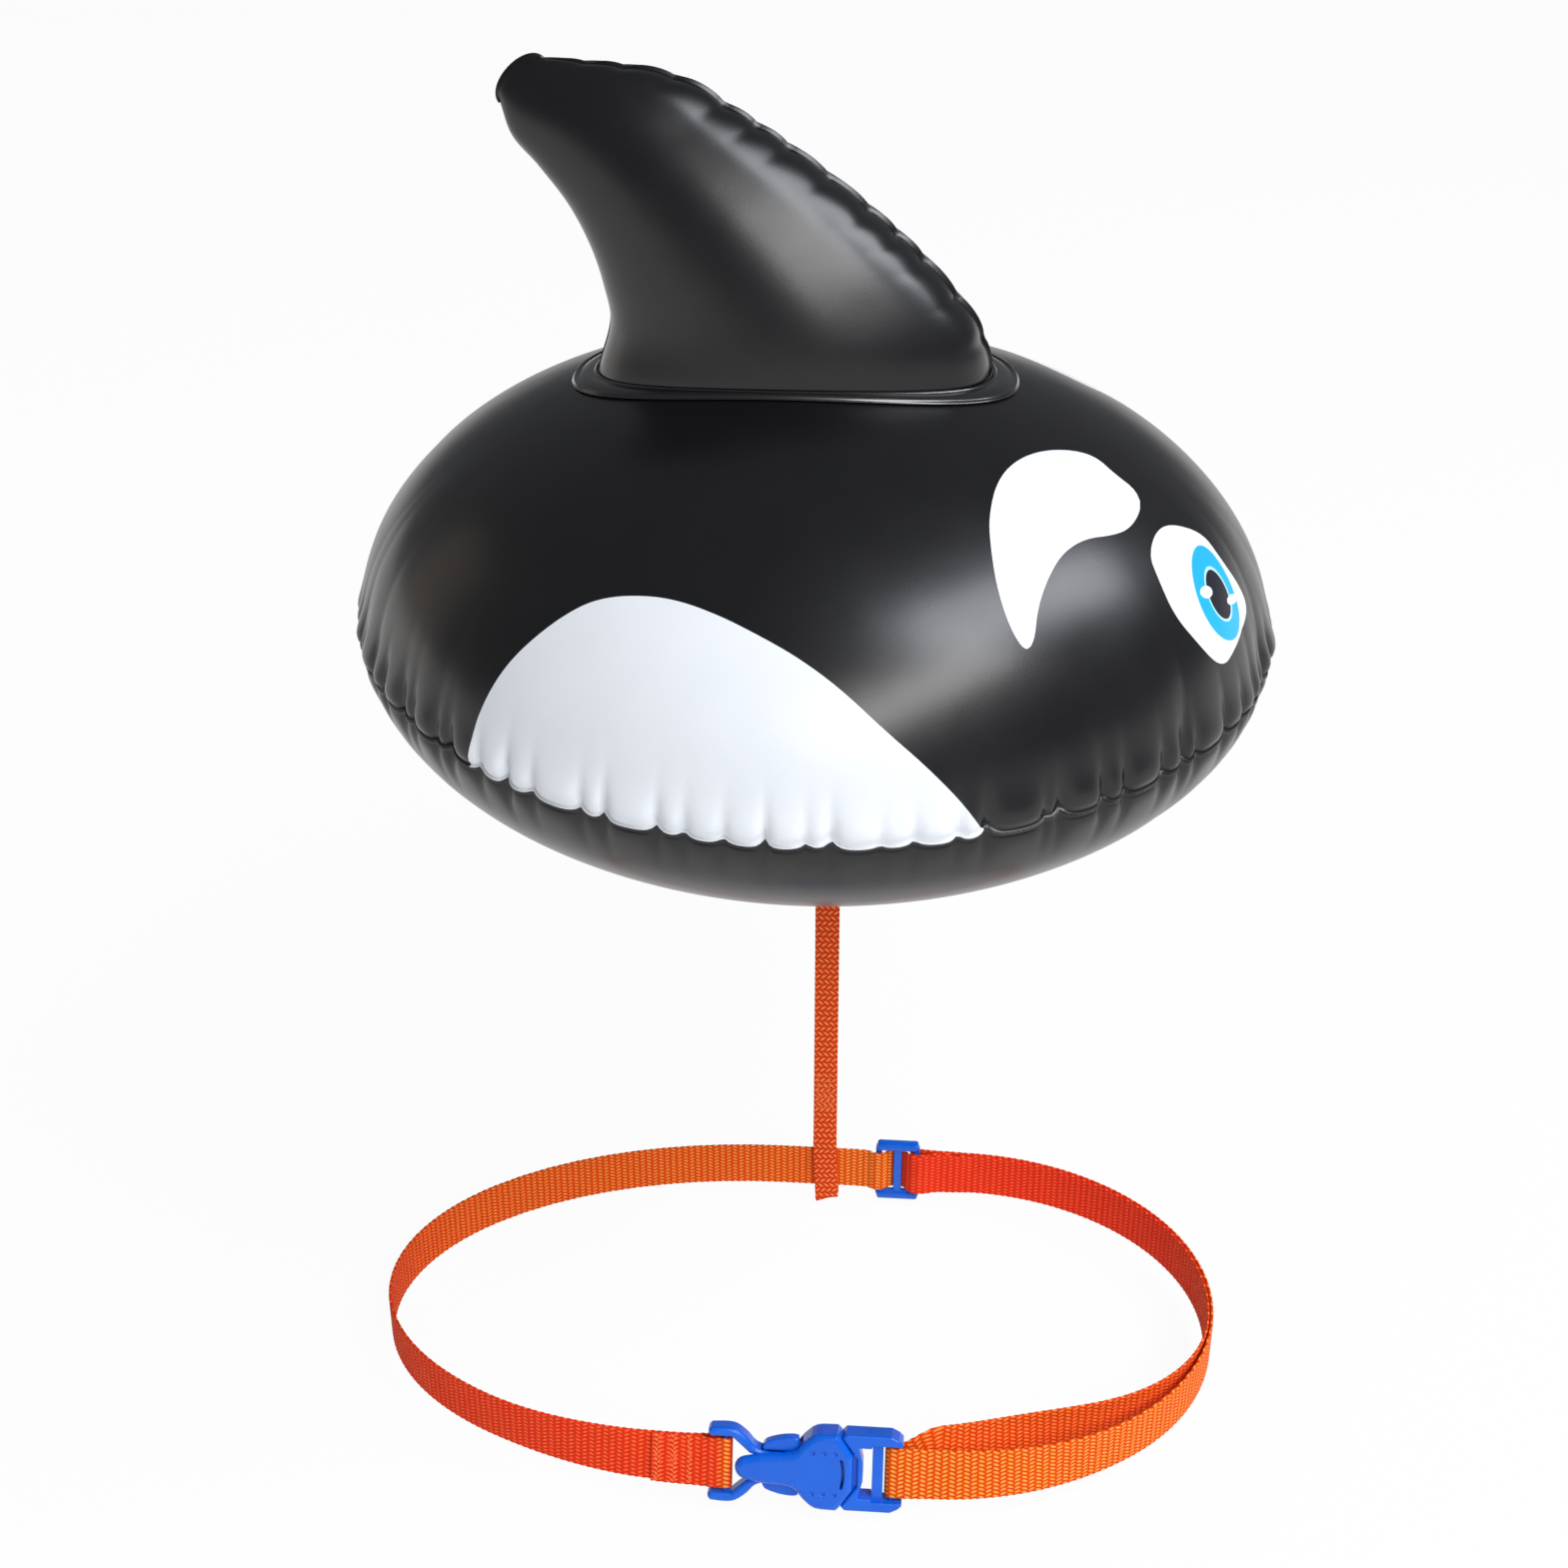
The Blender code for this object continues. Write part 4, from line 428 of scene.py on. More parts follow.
def oval(tree, place, centre, radii, tilt):
    """How far outside a tilted oval a point is: below 1 inside it."""
    moved = add(tree, "VectorMath", [place, centre], operation="SUBTRACT")
    turn = {"Vector": moved, "Angle": -math.radians(tilt)}
    turned = add(tree, "VectorRotate", turn, rotation_type="Y_AXIS")
    shaped = add(tree, "VectorMath", [turned, radii], operation="DIVIDE")
    flat = add(tree, "VectorMath", [shaped, (1, 0, 1)], operation="MULTIPLY")
    return add(tree, "VectorMath", [flat], "Value", operation="LENGTH")


def sheet_surface(tree, ink=None):
    """Links for black, fine peel, slow waves and uneven gloss of PVC sheet; ink is 1 where it is printed."""
    place = add(tree, "TexCoord", output="Object")
    waves = add(tree, "TexNoise", {"Vector": place, "Scale": 16, "Detail": 2, "Roughness": 0.45})
    # Real peel is about 0.3 mm; at 0.9 mm it still shows in the picture
    peel = add(tree, "TexNoise", {"Vector": place, "Scale": 1100, "Detail": 2})
    smears = add(tree, "TexNoise", {"Vector": place, "Scale": 34, "Detail": 5})
    normal = add(tree, "Bump", {"Strength": 0.14, "Distance": 0.004, "Height": waves})
    normal = add(tree, "Bump", {"Strength": 0.16, "Distance": 0.00012, "Height": peel, "Normal": normal})
    gloss = {"Value": smears, "From Min": 0.3, "From Max": 0.7, "To Min": 0.27, "To Max": 0.3}
    gloss = add(tree, "MapRange", gloss)
    if ink is not None:
        normal = add(tree, "Bump", {"Strength": 0.5, "Distance": 0.0001, "Height": ink, "Normal": normal})
        gloss = add(tree, "Math", [ink, INK_ROUGHNESS, gloss], operation="MULTIPLY_ADD")
    black = add(tree, "Mix", {0: smears, 6: "#0B0B0D", 7: "#101013"}, 2, data_type="RGBA")
    return {"Base Color": black, "Normal": normal, "Roughness": gloss}, place, smears


def printed_sheet(tree, shader):
    distance = add(tree, "Attribute", output="Fac", attribute_name="white_ink")
    ink = add(tree, "Math", [distance, 0], operation="GREATER_THAN")
    links, place, smears = sheet_surface(tree, ink)
    white = add(tree, "Mix", {0: smears, 6: "#EEF1F5", 7: "#E6EAEF"}, 2, data_type="RGBA")
    blue = add(tree, "Mix", {0: smears, 6: "#18A6EC", 7: "#12B8FA"}, 2, data_type="RGBA")
    # The eye is printed on both sides of the head, and nowhere near the middle
    along = add(tree, "SeparateXYZ", [place], "X")
    on_head = add(tree, "Math", [along, IRIS[0][0] - IRIS[1][0]], operation="GREATER_THAN")
    ovals = [(*IRIS, EYE_TILT, 1, blue), (*PUPIL, EYE_TILT, PUPIL_RIM, "#BFE9FF")]
    ovals += [(*PUPIL, EYE_TILT, 1, "#0B0D1C")]
    ovals += [(*glint, GLINT_TILT, 1, "#FAFCFF") for glint in GLINTS]
    colour = add(tree, "Mix", {0: ink, 6: links["Base Color"], 7: white}, 2, data_type="RGBA")
    for centre, radii, tilt, size, paint in ovals:
        inside = add(tree, "Math", [oval(tree, place, centre, radii, tilt), size], operation="LESS_THAN")
        share = add(tree, "Math", [inside, on_head], operation="MULTIPLY")
        colour = add(tree, "Mix", {0: share, 6: colour, 7: paint}, 2, data_type="RGBA")
    return {**links, "Base Color": colour}


def plain_sheet(tree, shader):
    return sheet_surface(tree)[0]


PRINTED_PVC = material("calendered_black_pvc_sheet_printed", printed_sheet, IOR=1.53)
BLACK_PVC = material("calendered_black_pvc_sheet", plain_sheet, IOR=1.53)
GLOSSY_PVC = material(
    "hot_welded_black_pvc_gloss", plain_sheet, IOR=1.53, Coat_Weight=0.8, Coat_Roughness=0.12
)

# %% The two hull sheets
hull_sheet("hull_upper", HULL_CROWN, PRINTED_PVC, white_ink)
hull_sheet("hull_lower", -HULL_KEEL, BLACK_PVC)

# %% [markdown]
# ## Dorsal fin
# Two more sheets, welded along the leading and the trailing edge. Air bows them into a lens. The leading weld
# gathers into shallow scallops, and its flat lip shines as a thin line; the trailing weld is turned smooth.
# Each sheet is a grid: rows climb the fin, columns run from its trailing to its leading edge, and the lens
# swells with the sine across them.

# %% Fin sizes and edges
FIN_TAIL_X = -0.099
FIN_CHORD = 0.179
FIN_HEIGHT = 0.137
FIN_HALF_THICKNESS = 0.049
FIN_LIP = 0.0014
FIN_SCALLOP = 0.0018
FIN_SCALLOP_REACH = 0.003
FIN_SCALLOPS = 13
FIN_LOBE_POWER = 0.55
FIN_LOBE_WANDER = 0.012
FIN_WANDER_TURNS = 3.3
FIN_GATHER_DEPTH = 0.0019
FIN_GATHER_REACH = 0.0036
FIN_SWELL_POWER = 1.3
FIN_TAPER_POWER = 0.75
FIN_SECTION_POWER = 0.85
FIN_FOOT_POWER = 4
FIN_BOW_POWER = 3
FIN_TIP_BOW = 0.0068
FIN_ROWS = 130
FIN_COLUMNS = 90
COLLAR_THICKNESS = 0.001
FIN_FOOT_LIFT = SKIN_LIFT + COLLAR_THICKNESS + 3 * GAP
# Each point is a share of the chord, then of the height, from the tail corner of the foot
LEADING_SHARES = [
    (1, 0), (0.96, 0.16), (0.853, 0.333), (0.705, 0.52), (0.547, 0.69), (0.36, 0.855), (0.19, 0.972),
    (-0.11, 1.012),
]
TRAILING_SHARES = [
    (0, 0), (0.035, 0.16), (0.02, 0.3), (-0.01, 0.43), (-0.06, 0.56), (-0.13, 0.68), (-0.19, 0.775),
    (-0.215, 0.88),
]


def running(line):
    """Running length at each point of a line, whose first columns are its place."""
    return np.concatenate([[0], np.cumsum(np.linalg.norm(np.diff(line[:, :3], axis=0), axis=1))])


def evenly(line, count):
    """The line's points moved to equal steps of its length."""
    reach = running(line)
    at = np.linspace(0, reach[-1], count)
    return np.stack([np.interp(at, reach, line[:, k]) for k in range(line.shape[1])], axis=1)


def smooth_line(points, per_span):
    """A Catmull-Rom curve through the points, which keeps its two ends."""
    known = [2 * np.array(points[0]) - np.array(points[1]), *map(np.array, points)]
    known.append(2 * known[-1] - known[-2])
    curve = []
    for a, b, c, d in zip(known, known[1:], known[2:], known[3:]):
        square, cube = 2 * a - 5 * b + 4 * c - d, 3 * b - a - 3 * c + d
        for t in np.arange(per_span) / per_span:
            curve.append(0.5 * (2 * b + (c - a) * t + square * t**2 + cube * t**3))
    return np.array([*curve, known[-2]])


def fin_edge(shares):
    foot = hull_height(FIN_TAIL_X, 0, HULL_CROWN)
    line = smooth_line(shares, 24) * (FIN_CHORD, FIN_HEIGHT) + (FIN_TAIL_X, foot)
    return evenly(line, FIN_ROWS + 1)


def outward(line, side):
    """The unit direction to the left (side 1) or right (-1) of each point of a line in the XZ plane."""
    along = np.gradient(line, axis=0)
    return unit(np.stack([-along[:, 1], along[:, 0]], axis=1)) * side


def thicken(piece, thickness):
    """Gives a sheet its thickness, inwards from its outer face."""
    solid = piece.modifiers.new("sheet", "SOLIDIFY")
    solid.thickness = thickness
    solid.offset = -1


# %% Fin sheets
def fin_sheet(name, side):
    leading, trailing = fin_edge(LEADING_SHARES), fin_edge(TRAILING_SHARES)
    leading_out, trailing_out = outward(leading, -1), outward(trailing, 1)
    foot = leading[0][1]
    t = np.arange(FIN_ROWS + 1) / FIN_ROWS
    # The weld bows outwards between gathers, which are not quite evenly spaced, and dips sharply at each
    wander = FIN_LOBE_WANDER * np.sin(math.tau * FIN_WANDER_TURNS * t)
    lobe = np.abs(np.sin(math.pi * FIN_SCALLOPS * (t + wander))) ** FIN_LOBE_POWER
    bulge = FIN_HALF_THICKNESS * (1 - t**FIN_SWELL_POWER) ** FIN_TAPER_POWER
    chord = leading - trailing
    bow = unit(np.stack([-chord[:, 1], chord[:, 0]], axis=1)) * (FIN_TIP_BOW * t**FIN_BOW_POWER)[:, None]
    angle = math.pi * np.arange(FIN_COLUMNS + 1) / FIN_COLUMNS
    share = ((1 - np.cos(angle)) / 2)[None, :, None]
    flat = trailing[:, None] * (1 - share) + leading[:, None] * share
    flat = flat + bow[:, None] * np.sin(angle)[None, :, None]
    # Gathers run a short way in from the leading weld, and leave the rest of the sheet smooth
    inward = np.linalg.norm(flat - leading[:, None], axis=2)
    pull = (FIN_SCALLOP * (1 - lobe))[:, None] * np.exp(-inward / FIN_SCALLOP_REACH)
    flat = flat - leading_out[:, None] * pull[..., None]
    gather = (FIN_GATHER_DEPTH * (1 - lobe))[:, None] * np.exp(-inward / FIN_GATHER_REACH)
    swell = bulge[:, None] * np.maximum(0, np.sin(angle))[None] ** FIN_SECTION_POWER
    y = side * (SKIN_LIFT + np.maximum(0, swell - gather))
    x, z = flat[..., 0], flat[..., 1]
    sink = (1 - t[:, None]) ** FIN_FOOT_POWER
    z = z + sink * (hull_height(x, y, HULL_CROWN) - foot) + FIN_FOOT_LIFT * (1 - t[:, None])
    points = np.stack([x, y, z], axis=-1)
    lips = [
        (points[:, edge] + np.stack([out[:, 0], 0 * t, out[:, 1]], axis=1) * reach)[:, None]
        for edge, out, reach in ((0, trailing_out, FIN_LIP / 2), (-1, leading_out, FIN_LIP))
    ]
    outer = np.concatenate([lips[0], points, lips[1]], axis=1)
    tip = outer[-1:].copy()
    tip[0][:, [0, 2]] += outward(tip[0][:, [0, 2]], 1) * FIN_LIP
    made = grid_piece(name, np.concatenate([outer, tip]), BLACK_PVC, "float", flip=side > 0)
    thicken(made, SHEET_THICKNESS)
    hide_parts(name + "_panel")


fin_sheet("fin_near", -1)
fin_sheet("fin_far", 1)

# %% [markdown]
# ## Collar of the fin
# A ring of sheet welded over the fin's foot. It shows as two fine glossy beads with a low dome between them.
# Its section is one line, swept round the oval foot, and the outer bead comes nearer to the fin's belly.

# %% Collar
COLLAR_INSIDE = 0.003
COLLAR_OUTSIDE = 0.011
BEAD_HEIGHT = 0.0014
BEAD_WIDTH = 0.0006
INNER_BEAD_SHARE = 0.6
COLLAR_DOME_SHARE = 0.4
COLLAR_WAIST_SHARE = 0.62
COLLAR_WAIST_POWER = 2.5
COLLAR_SHEET = 0.0003
COLLAR_STEPS = 360
COLLAR_COLUMNS = 56

angle = math.tau * np.arange(COLLAR_STEPS) / COLLAR_STEPS
# The outer bead runs close to the fin beside its belly, and swings out round its two ends
outer = COLLAR_OUTSIDE * (1 - COLLAR_WAIST_SHARE * np.abs(np.sin(angle)) ** COLLAR_WAIST_POWER)
inner = BEAD_WIDTH * 2
across = -COLLAR_INSIDE + np.linspace(0, 1, COLLAR_COLUMNS)[:, None] * (outer + COLLAR_INSIDE + inner)
dome = np.clip((across - inner) / (outer - inner), 0, 1)
height = INNER_BEAD_SHARE * np.exp(-(((across - inner) / BEAD_WIDTH) ** 2))
height = height + COLLAR_DOME_SHARE * np.sin(math.pi * dome)
height = height + np.exp(-(((across - outer) / BEAD_WIDTH) ** 2))
# Towards the outer bead and past it the sheet thins to nothing on the hull
seat = COLLAR_THICKNESS * (1 - dome**2) + COLLAR_SHEET
section = np.copysign(np.abs(np.sin(angle)) ** FIN_SECTION_POWER, np.sin(angle))
x = FIN_TAIL_X + FIN_CHORD / 2 + (FIN_CHORD / 2 + across) * np.cos(angle)
y = (FIN_HALF_THICKNESS + across) * section
z = hull_height(x, y, HULL_CROWN) + SKIN_LIFT + GAP + seat + height * BEAD_HEIGHT
made = grid_piece("fin_collar", np.stack([x, y, z], axis=-1), GLOSSY_PVC, "float", wrap=True)
thicken(made, COLLAR_SHEET)
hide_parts("fin_base_collar")

# %% [markdown]
# ## Webbing
# Belt and tether are woven polyester webbing: warp yarns cross in pairs like a chain of small Vs, and thick
# weft ribs lie every few millimetres. The ribs are real waves of the surface, so they show on the silhouette;
# the yarns are a pattern, which follows the strap by the running length and the place across that each vertex
# keeps. The pattern also paints shade into the gaps between the yarns and highlights on their tops. It paints
# light along each strap as a shift of its colour from red to yellow orange.

# %% Webbing maker
WEBBING_WIDTH = 0.025
# Thickness of one ply of webbing
PLY = 0.0014
HALF_WEBBING = WEBBING_WIDTH / 2
RIB_PITCH = 0.0034
YARN_PITCH = 0.0021
YARN_LEAN = 0.5
RIB_SHARE = 0.16
SELVEDGE_FROM = 0.9
SELVEDGE_RIB_SHARE = 0.4
SELVEDGE_WAVE = 0.012
WEBBING_STEP = 0.0006
TETHER_STEP = WEBBING_STEP * 0.8
# Places across the half width, and the share of the half thickness there: a flat middle, a round selvedge
SECTION_SHARES = [(0, 1), (0.3, 1), (0.6, 1), (0.84, 1), (0.94, 0.95), (0.985, 0.7), (1, 0.25)]


def strap(name, centres, across, width, look, body, start=0, pitch=RIB_PITCH, blend=None, painted_light=0.5):
    """Webbing along a dense line of centres; across is the direction of its width, start its first length.

    The last argument is painted light along the strap: it shifts the colour from red (0) to yellow orange
    (1).
    """
    along = unit(np.gradient(centres, axis=0))
    across = unit(across - along * (along * across).sum(axis=1)[:, None])
    normal = np.cross(across, along)
    reach = start + running(centres)
    loop = SECTION_SHARES + [(w, -t) for w, t in SECTION_SHARES[::-1]]
    loop += [(-w, -t) for w, t in SECTION_SHARES[1:]] + [(-w, t) for w, t in SECTION_SHARES[:0:-1]]
    w, t = np.array(loop).T
    # Ribs fade towards the selvedge, where the weft turns back
    selvedge = np.abs(w) > SELVEDGE_FROM
    rib = np.cos(math.tau * reach / pitch)[:, None]
    swell = 1 + RIB_SHARE * rib * np.where(selvedge, SELVEDGE_RIB_SHARE, 1)
    edge = 1 + SELVEDGE_WAVE * rib * selvedge
    points = centres[:, None] + across[:, None] * (w * edge * width / 2)[..., None]
    points = points + normal[:, None] * (t * swell * PLY / 2)[..., None]
    # Each point keeps its running length, its place across and the painted light on it
    weave_and_light = np.broadcast_arrays(reach[:, None], w * width / 2, np.reshape(painted_light, (-1, 1)))
    values = {"weave_and_light": np.stack(weave_and_light, axis=-1)}
    flags = {"wrap": True, "closed_ends": True, "flip": True}
    return grid_piece(name, points, look, body, **flags, values=values, blend=blend)


# %% Webbing materials
TETHER_RIB_PITCH = 0.0033
TETHER_YARN_PITCH = 0.0031
TETHER_YARN_LEAN = 0.9


def woven(name, shaded_gap, red, orange, highlight_colour, pitch, row, lean):
    """Webbing with the painted shade in its gaps, the red and yellow orange ends of its painted light, the
    colour of its painted highlights, and its weave's sizes.

    Each rib is a stack of short floats of yarn. The next rib's floats are half a row on, and lean the other
    way. Their height paints shade into the gaps between them, and pale specks on their highest tops are
    painted highlights. The colour shifts from red to yellow orange with the painted light along the strap and
    with random wear. Each sum has a name, an operation and what it works on.
    """
    sums = [
        ("ribs", "DIVIDE", "x", pitch), ("whole", "FLOOR", "ribs"), ("odd", "MODULO", "whole", 2),
        ("along", "FRACT", "ribs"), ("beside", "SUBTRACT", "along", 0.5),
        ("slope", "MULTIPLY_ADD", "odd", -2 * lean, lean), ("slant", "MULTIPLY", "beside", "slope"),
        ("across", "DIVIDE", "y", row), ("stepped", "MULTIPLY_ADD", "odd", 0.5, "across"),
        ("rows", "ADD", "stepped", "slant"), ("turn", "MULTIPLY", "rows", math.pi),
        ("wave", "SINE", "turn"), ("yarn", "ABSOLUTE", "wave"), ("rise", "MULTIPLY", "along", math.pi),
        ("hump", "SINE", "rise"), ("arch", "POWER", "hump", 0.5), ("height", "MULTIPLY", "yarn", "arch"),
        ("light_base", "SUBTRACT", "painted_light", 0.15), ("lit_and_worn_dye", "MULTIPLY_ADD", "worn", 0.3, "light_base"),
        ("frayed", "MULTIPLY_ADD", "fibres", 0.8, 0.6), ("top", "MULTIPLY", "height", "frayed"),
        ("highlight_strength", "MULTIPLY_ADD", "painted_light", 0.5, 0.35), ("relief", "MULTIPLY_ADD", "fibres", 0.3, "height"),
    ]

    def build(tree, shader):
        weave_and_light = add(tree, "Attribute", output="Vector", attribute_name="weave_and_light")
        known = dict(zip(("x", "y", "painted_light"), add(tree, "SeparateXYZ", [weave_and_light], None)))
        known["fibres"] = add(tree, "TexNoise", {"Vector": weave_and_light, "Scale": 2600, "Detail": 2})
        known["worn"] = add(tree, "TexNoise", {"Vector": weave_and_light, "Scale": 70, "Detail": 3})
        for name, operation, *terms in sums:
            known[name] = add(tree, "Math", [known.get(term, term) for term in terms], operation=operation)
        # Painted light: the colour runs from red to yellow orange with the painted light along the strap, and
        # with random wear
        lit_and_worn_dye = add(tree, "Mix", {0: known["lit_and_worn_dye"], 6: red, 7: orange}, 2, data_type="RGBA")
        # Painted shade: the gaps between the yarn floats are darker than their tops
        lit = add(tree, "MapRange", {"Value": known["height"], "From Min": 0.15, "From Max": 0.7})
        colour = add(tree, "Mix", {0: lit, 6: shaded_gap, 7: lit_and_worn_dye}, 2, data_type="RGBA")
        # Painted highlight: pale specks on the highest tops of the floats, stronger where more light is
        # painted
        highlight_mask = add(tree, "MapRange", {"Value": known["top"], "From Min": 0.74, "From Max": 1.05})
        share = add(tree, "Math", [highlight_mask, known["highlight_strength"]], operation="MULTIPLY")
        return {
            "Base Color": add(tree, "Mix", {0: share, 6: colour, 7: highlight_colour}, 2, data_type="RGBA"),
            "Normal": add(tree, "Bump", {"Strength": 0.8, "Distance": 0.0003, "Height": known["relief"]}),
        }

    return material(name, build, Roughness=0.75, Specular_IOR_Level=0.18)


# In each, the first colour is painted shade in the gaps and the last is the painted highlight on the yarns
ORANGE_BELT = woven(
    "woven_polyester_webbing_orange", "#DE3206", "#FF2C12", "#FF8A0E", "#FFC07A",
    RIB_PITCH, YARN_PITCH, YARN_LEAN,
)
RED_TETHER = woven(
    "woven_polyester_webbing_red_orange", "#C82C04", "#FF4C16", "#FF7C1E", "#FFD09A",
    TETHER_RIB_PITCH, TETHER_YARN_PITCH, TETHER_YARN_LEAN,
)


def thread_look(tree, shader):
    place = add(tree, "TexCoord", output="Object")
    twist = add(tree, "TexNoise", {"Vector": place, "Scale": 1800, "Detail": 2})
    return {
        "Base Color": add(tree, "Mix", {0: twist, 6: "#F2581C", 7: "#FFB06A"}, 2, data_type="RGBA"),
        "Normal": add(tree, "Bump", {"Strength": 0.6, "Distance": 0.0001, "Height": twist}),
    }


THREAD = material("bonded_polyester_thread", thread_look, Roughness=0.6, Specular_IOR_Level=0.3)

# %% [markdown]
# ## Tether
# Narrow webbing, threaded over the anchor's bridge, down to the belt and round it. Both ends turn back on the
# strap and are sewn down, so the strap is one ply thick in its middle and two at its ends. The line below
# runs along the whole strap in order, and corner cutting rounds it.

# %% Tether sizes and strap
TETHER_X = 0.008
TETHER_WIDTH = 0.0125
# Painted light along the tether, as a share from red to yellow orange
TETHER_PAINTED_LIGHT = 0.45
TETHER_SLACK = 0.0004
BRIDGE_ROD_RADIUS = 0.002
BRIDGE_DROP = 0.01
PATCH_THICKNESS = 0.0015
TOP_TAIL = 0.032
LOOP_TAIL = 0.053
LOOP_HANG = 0.0075
LOOP_TWIST = 22
LOOP_ROOM = 0.0018
LOOP_DRIFT = 0.0015
BELT_Z = -0.335
KEEL_Z = hull_height(TETHER_X, 0, -HULL_KEEL) - SKIN_LIFT
BRIDGE_Z = KEEL_Z - GAP - PATCH_THICKNESS - BRIDGE_DROP


def arc(centre, radii, start, end, steps):
    """Points of an ellipse's arc, from one angle to another, in degrees."""
    angles = np.radians(np.linspace(start, end, steps + 1))
    return np.stack([centre[0] + radii[0] * np.cos(angles), centre[1] + radii[1] * np.sin(angles)], axis=1)

# The tether's line in the YZ plane, from its sewn top end to the end of its belt loop
half = PLY / 2
round_bridge = BRIDGE_ROD_RADIUS + TETHER_SLACK + half
ply = half + TETHER_SLACK / 2
front = PLY + TETHER_SLACK
belt_top, belt_bottom = BELT_Z + HALF_WEBBING, BELT_Z - HALF_WEBBING
top_end, loop_end = BRIDGE_Z - TOP_TAIL, belt_top + LOOP_TAIL
hang = belt_bottom - LOOP_HANG + front
join = PLY * 3
route = [(ply, top_end), (ply, BRIDGE_Z - 4 * round_bridge), (round_bridge, BRIDGE_Z)]
route += [*arc((0, BRIDGE_Z), (round_bridge, round_bridge), 30, 180, 5)]
route += [(-ply, BRIDGE_Z - 4 * round_bridge), (-ply, top_end - join), (0, top_end - 3 * join)]
route += [(0, loop_end + 3 * join), (-ply, loop_end + join), (-ply, belt_top + 4 * join)]
route += [(-front - LOOP_ROOM, belt_top + join), (-front - LOOP_ROOM, belt_bottom)]
route += [*arc((-LOOP_ROOM / 2, hang), (front + LOOP_ROOM / 2, front), 180, 360, 6)]
route += [(front, belt_bottom), (front, belt_top + join), (ply, belt_top + 4 * join), (ply, loop_end)]
line = rounded([(TETHER_X, y, z) for y, z in route], rounds=2)
line = evenly(line, round(running(line)[-1] / TETHER_STEP))
# The loop hangs askew round the belt: it turns and drifts as it goes down, so its fold is a slanted point
down = np.clip((BELT_Z + HALF_WEBBING - line[:, 2]) / (WEBBING_WIDTH + LOOP_HANG), 0, 1)
turn = math.radians(LOOP_TWIST) * down
line[:, 0] += LOOP_DRIFT * down
width_way = np.stack([np.cos(turn), 0 * turn, np.sin(turn)], axis=1)
tether = strap(
    "tether", line, width_way, TETHER_WIDTH, RED_TETHER, "float", pitch=TETHER_RIB_PITCH, painted_light=TETHER_PAINTED_LIGHT
)
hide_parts("tether_strap")

# %% [markdown]
# ## Stitches
# Bonded thread holds every folded end of webbing. Each stitch shows as a small rounded grain on the face, so
# Geometry Nodes put one grain on each point of a row, turned along the seam and standing on the webbing. The
# rows are then made plain mesh, because the export drops instances.

# %% Stitch tool
STITCH_LENGTH = 0.0024
STITCH_RADIUS = 0.00032

# One rounded stitch of thread on each point, along its way and on its face
STITCHES = bpy.data.node_groups.new("stitches", "GeometryNodeTree")
sockets = {"Geometry": "Geometry", "Length": "Float", "Radius": "Float", "Thread": "Material"}
for name, kind in sockets.items():
    STITCHES.interface.new_socket(name, in_out="INPUT", socket_type=f"NodeSocket{kind}")
STITCHES.interface.new_socket("Geometry", in_out="OUTPUT", socket_type="NodeSocketGeometry")
points, length, radius, thread, _ = add(STITCHES, "NodeGroupInput", output=None)
way, face = [
    add(STITCHES, "GeometryNodeInputNamedAttribute", {"Name": key}, data_type="FLOAT_VECTOR")
    for key in ("way", "face")
]
turned = add(STITCHES, "FunctionNodeAxesToRotation", [way, face], primary_axis="X", secondary_axis="Z")
size = add(STITCHES, "CombineXYZ", [length, radius, radius])
grain = add(STITCHES, "GeometryNodeMeshUVSphere", {"Segments": 12, "Rings": 8, "Radius": 1})
laid = {"Points": points, "Instance": grain, "Rotation": turned, "Scale": size}
real = add(STITCHES, "GeometryNodeRealizeInstances", [add(STITCHES, "GeometryNodeInstanceOnPoints", laid)])
done = add(STITCHES, "GeometryNodeSetMaterial", {"Geometry": real, "Material": thread})
STITCHES.links.new(done, STITCHES.nodes.new("NodeGroupOutput").inputs[0])


def sewn(name, places, ways, faces, body):
    """A row of stitches, with its nodes applied to plain mesh."""
    mesh = bpy.data.meshes.new(name + "_points")
    mesh.from_pydata([tuple(p) for p in places], [], [])
    for key, value in (("way", ways), ("face", faces)):
        stored = mesh.attributes.new(key, "FLOAT_VECTOR", "POINT")
        stored.data.foreach_set("vector", np.asarray(value, np.float32).ravel())
    carrier = placed(name + "_points", mesh)
    nodes = carrier.modifiers.new("stitches", "NODES")
    nodes.node_group = STITCHES
    values = {"Length": STITCH_LENGTH / 2, "Radius": STITCH_RADIUS, "Thread": THREAD}
    for socket in STITCHES.interface.items_tree:
        if socket.in_out == "INPUT" and socket.name in values:
            nodes[socket.identifier] = values[socket.name]
    applied = bpy.data.meshes.new_from_object(carrier.evaluated_get(bpy.context.evaluated_depsgraph_get()))
    carrier.modifiers.remove(nodes)
    bpy.data.objects.remove(carrier)
    return finished(name, applied, THREAD, body)


# %% Sewn ends of the tether
STITCH_SLANT = 0.8
TACK_ROWS = 7
TACK_PITCH = 0.0035
TACK_COLUMNS = 5


def tack(name, z, side):
    """Zigzag rows across the tether's sewn ply, up from z on one of its faces."""
    face_y = side * (PLY + TETHER_SLACK / 2)
    places, ways = [], []
    for row in range(TACK_ROWS):
        for k in range(TACK_COLUMNS):
            share = (k + 0.5) / TACK_COLUMNS - 0.5
            places.append((TETHER_X + share * (TETHER_WIDTH - STITCH_LENGTH), face_y, z + row * TACK_PITCH))
            ways.append((1, 0, STITCH_SLANT if (k + row) % 2 else -STITCH_SLANT))
    sewn(name, places, ways, [(0, side, 0)] * len(places), "float")


